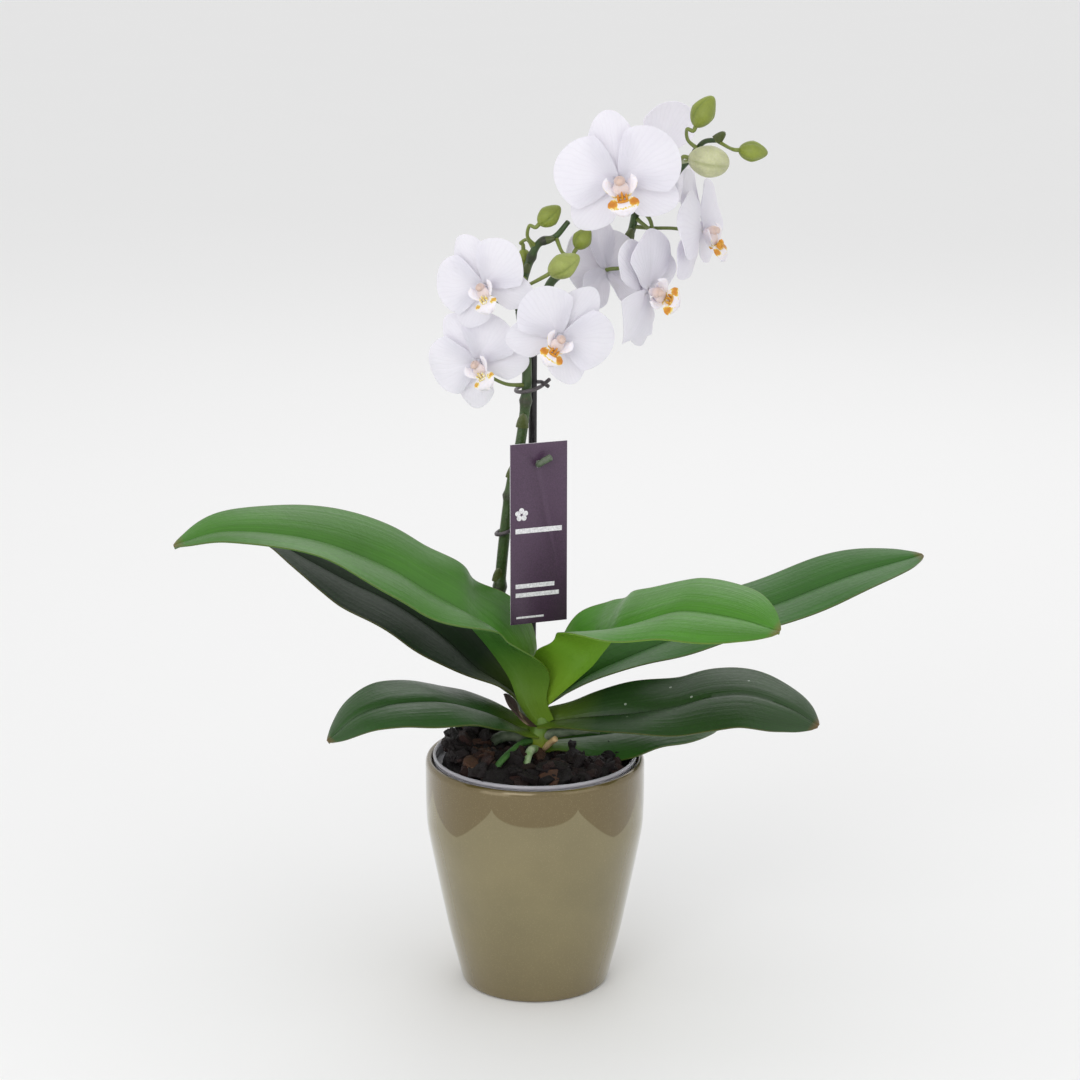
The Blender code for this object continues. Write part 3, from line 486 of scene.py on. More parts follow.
@once
def stem_finish():
    material, tree, shader, where = begin("spike_green", 0.4, Coat_Weight=0.1, Coat_Roughness=0.3)
    settings = mine("stem")
    body, dark = tuple(settings.stem), tuple(settings.node)
    drift = placed_group(tree, "Mottled tone", where.outputs["Object"], Scale=60.0, Contrast=2.2)
    fine = placed_group(tree, "Mottled tone", where.outputs["Object"], Scale=650.0, Contrast=2.0)
    specks = placed_group(tree, "Scattered specks", where.outputs["Object"], Scale=900.0, Size=0.32)
    near_node = node(tree, "ShaderNodeAttribute", attribute_name="near_node")
    thin = node(tree, "ShaderNodeAttribute", attribute_name="thin")
    face = mix(tree, drift.outputs["Tone"], tuple(0.55 * part for part in body), tuple(min(1.0, 1.35 * part) for part in body))
    face = mix(tree, maths(tree, "MULTIPLY", fine.outputs["Tone"], 0.35), face, tone(38, 50, 30))
    face = mix(tree, maths(tree, "MULTIPLY", specks.outputs["Specks"], 0.35), face, tone(96, 62, 44))
    face = mix(tree, thin.outputs["Fac"], face, tone(136, 148, 66))
    face = mix(tree, maths(tree, "MULTIPLY", near_node.outputs["Fac"], 0.75), face, dark)
    join(tree, face, shader.inputs["Base Color"])
    relief(tree, shader, fine.outputs["Tone"], 0.00025)
    return material


@once
def petal_finish():
    """A petal's soft white skin with faint lavender veins that fan out from its base."""
    material, tree, shader, where = begin("petal_white", 0.52, Subsurface_Weight=0.55, Sheen_Weight=0.12, Sheen_Roughness=0.5, Specular_IOR_Level=0.3)
    shader.inputs["Subsurface Radius"].default_value = (1.0, 0.9, 0.95)
    shader.inputs["Subsurface Scale"].default_value = 0.004
    settings = mine("flower")
    white, shade = tuple(settings.petal), tuple(settings.shade)
    veins = placed_group(tree, "Running veins", where.outputs["UV"], Lines=30.0, Waver=0.03, Sharpness=5.0)
    drift = placed_group(tree, "Mottled tone", where.outputs["Object"], Scale=70.0, Contrast=1.2)
    place = node(tree, "ShaderNodeSeparateXYZ")
    join(tree, where.outputs["UV"], place.inputs[0])
    inner = maths(tree, "SUBTRACT", 1.0, maths(tree, "MULTIPLY", place.outputs["X"], 1.7), clamp=True)
    face = mix(tree, maths(tree, "MULTIPLY", drift.outputs["Tone"], 0.5), white, shade)
    face = mix(tree, maths(tree, "MULTIPLY", veins.outputs["Lines"], 0.16), face, shade)
    face = mix(tree, maths(tree, "MULTIPLY", inner, 0.45), face, shade)
    heart = maths(tree, "MULTIPLY", maths(tree, "SUBTRACT", inner, 0.72), 3.2, clamp=True)
    face = mix(tree, maths(tree, "MULTIPLY", heart, 0.3), face, tone(222, 214, 178))
    join(tree, face, shader.inputs["Base Color"])
    cells = placed_group(tree, "Mottled tone", where.outputs["Object"], Scale=900.0, Contrast=1.0)
    height = maths(tree, "ADD", maths(tree, "MULTIPLY", veins.outputs["Lines"], -0.5), maths(tree, "MULTIPLY", cells.outputs["Tone"], 0.4))
    relief(tree, shader, height, 0.00009)
    return material


@once
def lip_finish():
    """The lip and the column, coloured by the mark painted on their points."""
    material, tree, shader, where = begin("lip_marked", 0.42, Subsurface_Weight=0.25, Coat_Weight=0.15, Coat_Roughness=0.3)
    shader.inputs["Subsurface Radius"].default_value = (1.0, 0.8, 0.6)
    shader.inputs["Subsurface Scale"].default_value = 0.0015
    settings = mine("flower")
    marked = node(tree, "ShaderNodeAttribute", attribute_name="mark")
    blush = node(tree, "ShaderNodeAttribute", attribute_name="blush")
    patches = placed_group(tree, "Mottled tone", where.outputs["Object"], Scale=900.0, Contrast=2.0)
    face = mix(tree, blush.outputs["Fac"], tone(238, 232, 238), tone(214, 188, 176))
    ragged = maths(tree, "ADD", marked.outputs["Fac"], maths(tree, "MULTIPLY", maths(tree, "SUBTRACT", patches.outputs["Tone"], 0.5), 0.35))
    edge = ramp(tree, ragged, (0.3, tone(238, 232, 236)), (0.45, tone(232, 214, 110)), (0.62, tuple(settings.mark)), (1.0, tone(200, 126, 26)))
    painted = maths(tree, "MULTIPLY", maths(tree, "SUBTRACT", ragged, 0.3), 6.0, clamp=True)
    join(tree, mix(tree, painted, face, edge), shader.inputs["Base Color"])
    relief(tree, shader, patches.outputs["Tone"], 0.00025)
    return material


@once
def bud_finish(name, body, groove):
    material, tree, shader, where = begin(name, 0.45, Subsurface_Weight=0.15, Coat_Weight=0.1, Coat_Roughness=0.35)
    shader.inputs["Subsurface Radius"].default_value = (0.8, 1.0, 0.3)
    shader.inputs["Subsurface Scale"].default_value = 0.003
    seam = node(tree, "ShaderNodeAttribute", attribute_name="seam")
    drift = placed_group(tree, "Mottled tone", where.outputs["Object"], Scale=150.0, Contrast=1.8)
    fine = placed_group(tree, "Mottled tone", where.outputs["Object"], Scale=900.0, Contrast=1.6)
    face = mix(tree, drift.outputs["Tone"], tuple(0.78 * part for part in body), tuple(min(1.0, 1.12 * part) for part in body))
    face = mix(tree, maths(tree, "MULTIPLY", fine.outputs["Tone"], 0.3), face, groove)
    join(tree, mix(tree, seam.outputs["Fac"], face, groove), shader.inputs["Base Color"])
    relief(tree, shader, fine.outputs["Tone"], 0.00025)
    return material


@once
def moulded_finish(name, body, roughness, scale, depth):
    """Moulded plastic or lacquered cane with a fine uneven skin."""
    material, tree, shader, where = begin(name, roughness)
    drift = placed_group(tree, "Mottled tone", where.outputs["Object"], Scale=scale, Contrast=1.8)
    join(tree, mix(tree, drift.outputs["Tone"], tuple(0.7 * part for part in body), tuple(min(1.0, 1.3 * part) for part in body)), shader.inputs["Base Color"])
    join(tree, spread(tree, drift.outputs["Tone"], roughness - 0.08, roughness + 0.12), shader.inputs["Roughness"])
    relief(tree, shader, drift.outputs["Tone"], depth)
    return material


@once
def card_finish():
    material, tree, shader, where = begin("tag_card", 0.42, Coat_Weight=0.2, Coat_Roughness=0.25)
    body = tuple(mine("tag").card)
    grain = placed_group(tree, "Mottled tone", where.outputs["Object"], Scale=1400.0, Contrast=2.6)
    broad = placed_group(tree, "Mottled tone", where.outputs["Object"], Scale=30.0, Contrast=1.2)
    face = mix(tree, grain.outputs["Tone"], tuple(0.72 * part for part in body), tuple(min(1.0, 1.25 * part) for part in body))
    face = mix(tree, maths(tree, "MULTIPLY", broad.outputs["Tone"], 0.3), face, tone(96, 66, 98))
    cut = node(tree, "ShaderNodeAttribute", attribute_name="cut_edge")
    join(tree, mix(tree, cut.outputs["Fac"], face, tone(232, 230, 234)), shader.inputs["Base Color"])
    relief(tree, shader, grain.outputs["Tone"], 0.00005)
    return material


# ---------------------------------------------------------------- shaping helpers


def smooth_path(points, steps):
    """Points on a Catmull-Rom curve through the given points, with this many steps to a span."""
    points = [np.array(point, float) for point in points]
    knots = [2 * points[0] - points[1], *points, 2 * points[-1] - points[-2]]
    path = []
    for a, b, c, d in zip(knots, knots[1:], knots[2:], knots[3:]):
        square = 2 * a - 5 * b + 4 * c - d
        cube = 3 * b - a - 3 * c + d
        for step in range(steps):
            t = step / steps
            path.append((2 * b + (c - a) * t + square * t**2 + cube * t**3) / 2)
    path.append(knots[-2])
    return np.array(path)


def fresh_start():
    if bpy.context.mode != "OBJECT":
        bpy.ops.object.mode_set(mode="OBJECT")
    bpy.ops.object.select_all(action="DESELECT")


def pick(*objs):
    fresh_start()
    for obj in objs:
        obj.select_set(True)
    bpy.context.view_layer.objects.active = objs[0]


def named(name):
    obj = bpy.context.object
    obj.name = name
    obj.data.name = name
    return obj


def apply_all(obj):
    pick(obj)
    for modifier in list(obj.modifiers):
        bpy.ops.object.modifier_apply(modifier=modifier.name)


def weld(obj, outward=True):
    """Merges doubles and turns the faces outwards."""
    pick(obj)
    bpy.ops.object.mode_set(mode="EDIT")
    bpy.ops.mesh.select_all(action="SELECT")
    bpy.ops.mesh.remove_doubles(threshold=2e-6)
    if outward:
        bpy.ops.mesh.normals_make_consistent(inside=False)
    bpy.ops.object.mode_set(mode="OBJECT")


def paint(obj, name, values):
    """Stores a number for each point, for the finishes to read."""
    attribute = obj.data.attributes.get(name) or obj.data.attributes.new(name, "FLOAT", "POINT")
    attribute.data.foreach_set("value", np.asarray(values, np.float32))


def finished(obj, material, slot, *nodes, angle=50):
    """Shades a piece, gives it its finish and ties it to the frame."""
    obj.data.materials.clear()
    obj.data.materials.append(material)
    pick(obj)
    bpy.ops.object.shade_smooth_by_angle(angle=math.radians(angle))
    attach(obj, "root")
    if nodes:
        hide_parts(*nodes)
    return obj


def turned(name, profile, steps):
    """One point drawn along a profile of (radius, height) in metres, then spun about the pot's axis."""
    fresh_start()
    bpy.ops.mesh.primitive_plane_add(size=MM)
    obj = named(name)
    bpy.ops.object.mode_set(mode="EDIT")
    bpy.ops.mesh.select_all(action="SELECT")
    bpy.ops.mesh.merge(type="CENTER")
    place = Vector((0.0, 0.0, 0.0))
    for number, (radius, height) in enumerate(profile):
        step = Vector((radius, 0.0, height)) - place
        place += step
        if number:
            bpy.ops.mesh.extrude_region_move(TRANSFORM_OT_translate={"value": step})
        else:
            bpy.ops.transform.translate(value=step)
    bpy.ops.mesh.select_all(action="SELECT")
    bpy.ops.mesh.spin(steps=steps, angle=2 * math.pi, center=(0, 0, 0), axis=(0, 0, 1))
    bpy.ops.object.mode_set(mode="OBJECT")
    weld(obj)
    return obj


def bent_grid(name, surface, along, across, upward):
    """A grid laid over a surface given by (share along, -1 to 1 across), with its face turned to a side."""
    fresh_start()
    bpy.ops.mesh.primitive_grid_add(x_subdivisions=along, y_subdivisions=across, size=2)
    obj = named(name)
    for vertex in obj.data.vertices:
        vertex.co = surface((vertex.co.x + 1) / 2, vertex.co.y)
    obj.data.update()
    facing = sum((face.normal * face.area for face in obj.data.polygons), Vector())
    if facing.dot(Vector(upward)) < 0:
        pick(obj)
        bpy.ops.object.mode_set(mode="EDIT")
        bpy.ops.mesh.select_all(action="SELECT")
        bpy.ops.mesh.flip_normals()
        bpy.ops.object.mode_set(mode="OBJECT")
    return obj


def walled(obj, thickness, weights=None, rim_share=0.4):
    """Gives a sheet its thickness, thinner where the weights are low, and notes which points are its back."""
    front = len(obj.data.vertices)
    modifier = obj.modifiers.new("wall", "SOLIDIFY")
    modifier.thickness = thickness
    modifier.offset = 0.0
    modifier.use_even_offset = False
    if weights is not None:
        group = obj.vertex_groups.new(name="body")
        for number, weight in enumerate(weights):
            group.add([number], float(weight), "REPLACE")
        modifier.vertex_group = group.name
        modifier.thickness_vertex_group = rim_share
    apply_all(obj)
    count = len(obj.data.vertices)
    paint(obj, "underside", [0.0] * front + [1.0] * (count - front))
    return obj


def tube(name, points, radii, steps=4, sides=3, nodes_at=(), node_swell=0.35):
    """A round stem along points in millimetres above the rim, swelling at its nodes, with rounded ends."""
    path = smooth_path(points, steps)
    run = np.concatenate([[0.0], np.cumsum(np.linalg.norm(np.diff(path, axis=0), axis=1))])
    shares = run / run[-1]
    widths = np.interp(shares, np.linspace(0, 1, len(radii)), radii)
    close = np.zeros(len(path))
    for share in nodes_at:
        close = np.maximum(close, np.exp(-(((run - share * run[-1]) / 2.4) ** 2)))
    widths = widths * (1 + node_swell * close)
    ends = [0, *range(len(path)), len(path) - 1]
    fresh_start()
    bpy.ops.curve.primitive_bezier_curve_add()
    obj = named(name)
    curve = obj.data
    curve.splines.clear()
    curve.dimensions = "3D"
    curve.bevel_depth = MM
    curve.bevel_resolution = sides
    curve.use_fill_caps = True
    spline = curve.splines.new("POLY")
    spline.points.add(len(ends) - 1)
    first, last = path[0], path[-1]
    lead = (path[1] - path[0]) / np.linalg.norm(path[1] - path[0])
    tail = (path[-1] - path[-2]) / np.linalg.norm(path[-1] - path[-2])
    for number, (point, index) in enumerate(zip(spline.points, ends)):
        place, width = path[index], widths[index]
        if number == 0:
            place, width = first - 0.25 * widths[0] * lead, 0.6 * width
        elif number == len(ends) - 1:
            place, width = last + 0.25 * widths[-1] * tail, 0.6 * width
        point.co = (*above_rim(place), 1.0)
        point.radius = width
    pick(obj)
    bpy.ops.object.convert(target="MESH")
    obj = bpy.context.object
    weld(obj)
    rings = np.array([above_rim(place) for place in path])
    spots = np.array([vertex.co for vertex in obj.data.vertices])
    nearest = [int(np.argmin(((rings - spot) ** 2).sum(axis=1))) for spot in spots]
    paint(obj, "near_node", close[nearest])
    paint(obj, "thin", [0.0] * len(spots))
    return obj


def joined(name, *objs):
    pick(*objs)
    if len(objs) > 1:
        bpy.ops.object.join()
    return named(name)


# ---------------------------------------------------------------- pots and bark

POT_CURVE = ((0.0, 0.0), (0.02, 0.045), (0.06, 0.11), (0.21, 0.35), (0.36, 0.55), (0.54, 0.78), (0.69, 0.955), (0.78, 0.99), (0.86, 1.0))


def make_cover_pot():
    settings = mine("pot")
    foot, rim, wall = settings.foot_radius, POT_RIM_R, settings.wall
    curve = smooth_path(POT_CURVE, 6)
    outside = [(foot + (rim - foot) * share, height * RIM_Z) for height, share in curve]
    lip = []
    for step in range(1, 16):
        angle = math.pi * step / 16
        tall = (4.0 if step < 8 else 1.5) * MM
        lip.append((rim - wall / 2 + wall / 2 * math.cos(angle), RIM_Z - tall + tall * math.sin(angle)))
    floor = 6.0 * MM
    inside = [(radius - wall, height) for radius, height in reversed(outside) if height > 2.2 * floor]
    corner = [(foot + 0.1 * (rim - foot) - wall, 1.5 * floor), (foot - wall, floor), (0.0, floor)]
    foot_ring = [(0.0, 0.6 * MM), (foot - 6 * MM, 0.6 * MM), (foot - 5 * MM, 0.0), (foot - 1.2 * MM, 0.0), (foot, 0.5 * MM)]
    profile = [*foot_ring, *[spot for spot in outside[2:] if spot[1] < RIM_Z - 5 * MM], (rim, RIM_Z - 4.0 * MM), *lip, *inside, *corner]
    pot = turned("cover_pot", profile, 128)
    finished(pot, glaze_finish(), "glaze", "ceramic_pot", angle=60)


def make_grow_pot():
    top = GROW_HIGH.z - 1.8 * MM
    rim = GROW_HIGH.x
    wall = 0.9 * MM
    foot = GROW_LOW.z
    foot_r = 36.1 * MM
    outside = [(foot_r, foot), (rim - 4.0 * MM, top - 10 * MM), (rim - 0.4 * MM, top - 9 * MM), (rim - 0.4 * MM, top - 3.2 * MM)]
    bead = []
    for step in range(9):
        angle = -0.5 * math.pi + 1.5 * math.pi * step / 8
        bead.append((rim - 1.0 * MM + 1.0 * MM * math.cos(angle), top - 1.4 * MM + 1.4 * MM * math.sin(angle)))
    inside = [(rim - 0.4 * MM - wall, top - 3.2 * MM), (rim - 0.4 * MM - wall, top - 8.2 * MM), (rim - 4.9 * MM, top - 9.2 * MM), (foot_r - wall, foot + wall)]
    profile = [(0.0, foot), *outside, *bead, *inside, (0.0, foot + wall)]
    pot = turned("clear_grow_pot", profile, 112)
    finished(pot, plastic_finish(), "clear_plastic", "grow_pot")


def bark_height(x, y):
    """The bed's top above the rim in millimetres: rolling a little and heaped at the left."""
    heap = 7.0 * math.exp(-(((x + 36) / 20) ** 2) - ((y + 4) / 26) ** 2)
    return -1.0 + heap + 0.8 * math.sin(x / 7.0) * math.cos(y / 6.0)


def make_bark_bed():
    low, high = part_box("bark_bed")
    edge = high.x
    side = [(0.0, low.z), (35.0 * MM, low.z), (edge, RIM_Z - 7 * MM), (edge, RIM_Z - 4 * MM)]
    top = [(edge * share, RIM_Z - 2 * MM) for share in np.linspace(0.97, 0.0, 26)]
    bed = turned("bark_bed_fill", [*side, *top], 96)
    for vertex in bed.data.vertices:
        if vertex.co.z > RIM_Z - 2.5 * MM:
            rough = noise.fractal(vertex.co * 160, 0.8, 2.0, 4)
            vertex.co.z += (bark_height(vertex.co.x / MM, vertex.co.y / MM) - 0.6 + 1.6 * rough) * MM
    paint(bed, "chip_tone", [0.2] * len(bed.data.vertices))
    finished(bed, bark_finish(), "bark", "bark_bed")


def chip_master(name, seed, size, level):
    """A broken flake of bark: a cube subdivided, roughened and flattened."""
    fresh_start()
    bpy.ops.mesh.primitive_cube_add(size=1.0)
    obj = named(name)
    bpy.ops.object.mode_set(mode="EDIT")
    bpy.ops.mesh.select_all(action="SELECT")
    bpy.ops.mesh.subdivide(number_cuts=level, smoothness=0.55)
    bpy.ops.transform.resize(value=[2 * side for side in size])
    bpy.ops.object.mode_set(mode="OBJECT")
    start = Vector((seed * 3.7, seed * 1.3, seed * 2.1))
    for vertex in obj.data.vertices:
        spot = vertex.co.copy()
        push = noise.fractal(Vector((spot.x * 0.16, spot.y * 0.3, spot.z * 0.5)) + start, 0.7, 2.1, 3)
        layer = 0.35 * math.sin(spot.z * 3.1 + 2.0 * noise.noise(spot * 0.2 + start))
        vertex.co += Vector((spot.x * 0.25, spot.y * 0.35, spot.z * 0.4)) * push + Vector((0.0, layer * 0.5, 0.0))
    return obj


def copies_at(master, spots, name):
    """One mesh holding a copy of the master at each (matrix rows as Euler, place, scale, tone)."""
    points = np.array([vertex.co for vertex in master.data.vertices])
    faces = [list(face.vertices) for face in master.data.polygons]
    all_points, all_faces, tones = [], [], []
    for place, turn, scale, shade in spots:
        base = len(all_points) * len(points)
        turned_points = points * scale @ np.array(turn.to_matrix()).T
        all_points.append(turned_points + np.array(place))
        all_faces += [[base + index for index in face] for face in faces]
        tones += [shade] * len(points)
    mesh = bpy.data.meshes.new(name)
    mesh.from_pydata([above_rim(point) for block in all_points for point in block], [], all_faces)
    obj = bpy.data.objects.new(name, mesh)
    bpy.context.scene.collection.objects.link(obj)
    paint(obj, "chip_tone", tones)
    return obj


def make_loose_bark():
    settings = mine("bark")
    chance = random.Random(settings.seed)
    sizes = ((5.6, 3.2, 1.9), (4.0, 3.0, 2.3), (8.2, 3.8, 1.8), (3.0, 2.2, 1.5))
    masters = [chip_master(f"chip_{number}", number + 2, size, 3) for number, size in enumerate(sizes)]
    spots = {number: [] for number in range(len(masters))}
    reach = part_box("bark_bed")[1].x / MM - 1.5
    for _ in range(settings.chips):
        radius = reach * math.sqrt(chance.random())
        angle = chance.uniform(0, 2 * math.pi)
        x, y = radius * math.cos(angle), radius * math.sin(angle)
        which = chance.choice((0, 0, 1, 1, 2, 3, 3))
        scale = chance.uniform(0.75, 1.25)
        if radius + 5 * scale > reach:
            shrink = (reach - 5 * scale) / radius
            x, y = x * shrink, y * shrink
        turn = Euler((chance.gauss(0.0, 0.6), chance.gauss(0.0, 0.55), chance.uniform(0, 2 * math.pi)))
        shade = min(1.0, max(0.0, chance.gauss(0.34, 0.22)))
        if chance.random() < 0.03:
            shade = chance.uniform(0.82, 0.96)
        heap = math.exp(-(((x + 38) / 15) ** 2) - ((y - 2) / 30) ** 2)
        height = bark_height(x, y) + chance.uniform(-0.8, 2.2) + heap * chance.uniform(0.0, 8.0)
        spots[which].append(((x, y, height), turn, scale, shade))
    blocks = [copies_at(master, spots[number], f"loose_{number}") for number, master in enumerate(masters)]
    for master in masters:
        bpy.data.objects.remove(master, do_unlink=True)
    loose = joined("loose_bark", *blocks)
    finished(loose, bark_finish(), "bark", angle=32)


def make_big_chips():
    for number in range(1, 5):
        low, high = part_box(f"bark_chip_{number}")
        middle, half = (low + high) / 2, (high - low) / (2 * MM)
        size = (half.x * 1.02, half.y * 0.92, half.z * 0.85)
        chip = chip_master(f"large_bark_{number}", number * 5 + 1, size, 9)
        for vertex in chip.data.vertices:
            vertex.co = vertex.co * MM + middle
        weld(chip)
        paint(chip, "chip_tone", [(0.62, 0.8, 0.25, 0.45)[number - 1]] * len(chip.data.vertices))
        finished(chip, bark_finish(), "bark", f"bark_chip_{number}", angle=35)


# ---------------------------------------------------------------- crown, roots and stake


def make_crown():
    """The short stem: a column swelling at each leaf's clasp, with a ribbed skin."""
    fresh_start()
    top = CROWN_HIGH - Vector((0.0, 0.0, 9.0 * MM))
    middle = (CROWN_LOW + top) / 2
    radius = (CROWN_HIGH.x - CROWN_LOW.x) / 2
    height = top.z - CROWN_LOW.z
    bpy.ops.mesh.primitive_uv_sphere_add(segments=48, ring_count=60, radius=1.0, location=(0, 0, 0))
    obj = named("leaf_crown")
    for vertex in obj.data.vertices:
        x, y, z = vertex.co
        flat = math.hypot(x, y)
        angle = math.atan2(y, x)
        body = (1 - abs(z) ** 6) ** (1 / 6) if abs(z) < 1 else 0.0
        above = (z + 1) / 2
        clasp = 1 + 0.10 * math.cos(above * 24.0 + 1.5 * math.cos(angle)) * (0.4 + 0.6 * abs(math.cos(angle)))
        rib = 1 + 0.018 * math.sin(angle * 17 + above * 9)
        share = body / flat if flat > 1e-6 else 0.0
        share *= 1 - 0.7 * (max(0.0, above - 0.62) / 0.38) ** 1.3
        wide = radius * clasp * rib * (1.0 if above > 0.3 else 0.75 + 0.83 * above)
        vertex.co = Vector((x * share * wide, y * share * wide * 0.92, z * height / 2)) + middle
    weld(obj)
    finished(obj, crown_finish(), "young_green", "crown")


ROOTS = (
    ("root_long", ((2, 0, 9), (-6, -9, 11), (-12, -21, 11), (-20, -35, 8), (-27, -44, -1)), (2.2, 2.0, 1.8), "green"),
    ("root_pale", ((3, 0, 2), (0, -10, 7), (-3, -20, 9), (-5, -29, 5), (-6, -33, -2)), (2.7, 2.5, 2.0), "pale"),
    ("root_grey", ((2, 0, 5), (-7, -2, 11), (-15, -3, 13), (-24, -4, 10), (-29, -6, 0)), (3.2, 3.5, 3.0), "silver"),
    ("root_right", ((3, 0, 11), (12, -7, 16), (22, -11, 19), (31, -13, 20), (38, -14, 19)), (2.8, 3.2, 2.8, 1.2), "silver"),
    ("root_stub", ((4, -4, 3), (8, -10, 10), (12, -16, 15.5)), (1.5, 1.9, 1.8), "tan"),
)


def make_roots():
    skin = tuple(mine("stem").root)
    finishes = {
        "green": root_finish("root_green", tone(72, 118, 48), tone(38, 84, 28)),
        "pale": root_finish("root_pale_skin", tone(206, 214, 186), tone(96, 146, 62)),
        "silver": root_finish("root_silver", skin, tone(52, 72, 46)),
        "tan": root_finish("root_cut_tan", tone(206, 180, 134), tone(170, 140, 96)),
    }
    for name, points, radii, look in ROOTS:
        root = tube(f"{name}_skin", points, radii, steps=7, sides=5)
        for vertex in root.data.vertices:
            vertex.co += Vector((1, 1, 1)) * 0.25 * MM * noise.noise(vertex.co * 240)
        finished(root, finishes[look], "root_skin", name)


def make_stake():
    foot, top = (-2.6, 34.0, -70.0), (-1.0, 22.5, 244.0)
    stake = tube("support_stake", (foot, top), (2.7, 2.4), steps=24, sides=6)
    black = moulded_finish("stake_black", tone(26, 21, 26), 0.38, 320.0, 0.0002)
    finished(stake, black, "black_stake", "stake")


# ---------------------------------------------------------------- leaves

BROAD_LEAF = ((0.0, 0.3), (0.1, 0.42), (0.2, 0.62), (0.34, 0.86), (0.5, 0.98), (0.62, 1.0), (0.75, 0.96), (0.86, 0.8), (0.94, 0.52), (0.985, 0.22), (1.0, 0.06))
LONG_LEAF = ((0.0, 0.3), (0.1, 0.42), (0.2, 0.64), (0.34, 0.9), (0.5, 1.0), (0.62, 0.98), (0.75, 0.86), (0.86, 0.64), (0.94, 0.38), (0.985, 0.15), (1.0, 0.04))

# outline, half-width, angles (share along, rise of the back half, drop of the front half) and midrib points
LEAVES = {
    "leaf_1": (LONG_LEAF, 36, (
        (0.0, 72, -62), (0.12, 64, -54), (0.22, 52, -24), (0.32, 42, 2), (0.42, 35, 12), (0.6, 27, 8), (0.8, 22, -2)), (
        (2, -3, 18), (-4, -6, 27), (-9, -9, 37), (-14, -12, 53), (-24, -16, 70), (-34, -20, 84), (-44, -26, 98),
        (-64, -31, 112), (-84, -36, 126), (-115, -43, 141), (-143, -50, 149), (-175, -56, 152), (-196, -60, 147),
        (-202, -61, 145)), (0.42, 0.2, 0.16, 0.15)),
    "leaf_2": (LONG_LEAF, 30, (
        (0.0, 70, -20), (0.12, 48, -15), (0.3, 30, 5), (0.6, 20, 8), (0.8, 15, -4), (1.0, 15, -10)), (
        (1, 5, 25), (-10, 9, 32), (-24, 9, 43), (-35, 10, 51), (-50, 14, 65), (-66, 20, 76), (-88, 27, 88),
        (-110, 36, 96), (-135, 44, 107), (-153, 50, 115), (-168, 54, 119))),
    "leaf_3": (LONG_LEAF, 26, ((0.0, 52, 8), (0.35, 16, 16), (0.8, 14, 16), (1.0, 8, 14)), (
        (1, 0, 14), (-10, -3, 18), (-21, -10, 26), (-34, -21, 35), (-54, -39, 46), (-74, -52, 50),
        (-88, -60, 50), (-102, -67, 46), (-117, -74, 34))),
    "leaf_4": (BROAD_LEAF, 33, (
        (0.0, 76, -78), (0.1, 72, -74), (0.2, 64, -62), (0.3, 52, -50), (0.36, 44, -34), (0.44, 34, -14), (0.54, 25, 5), (0.64, 22, 15)), (
        (4, -3, 28), (10, -7, 37), (17, -13, 46), (25, -20, 56), (33, -27, 66), (40, -35, 78), (48, -43, 89),
        (73, -60, 105), (89, -70, 110), (117, -88, 110), (135, -97, 106)), (0.5, 0.28, 0.28, 0.15)),
    "leaf_5": (BROAD_LEAF, 28, ((0.0, 70, -35), (0.12, 40, -15), (0.35, 20, 4), (1.0, 20, 4)), (
        (4, 2, 29), (14, 6, 34), (39, 15, 48), (89, 30, 65), (143, 45, 79), (191, 58, 94), (236, 71, 103)), (0.35, 0.18, 0.25, 0.15)),
    "leaf_6": (BROAD_LEAF, 28, ((0.0, 52, 4), (0.3, 38, 8), (0.5, 26, 20), (0.65, 18, 26), (0.85, 10, 26)), (
        (2, 0, 20), (14, -2, 22), (31, -10, 27), (59, -20, 33), (81, -30, 40), (102, -36, 48), (124, -42, 51),
        (146, -50, 46), (162, -56, 37))),
    "leaf_7": (LONG_LEAF, 28, (
        (0.0, 30, 5), (0.15, 15, 12), (0.3, 8, 20), (0.55, 8, 8), (0.8, 8, 2), (1.0, 8, 0)), (
        (2, 1, 5), (14, 4, 8), (43, 9, 10), (69, 14, 12), (92, 18, 11), (110, 22, 9))),
}


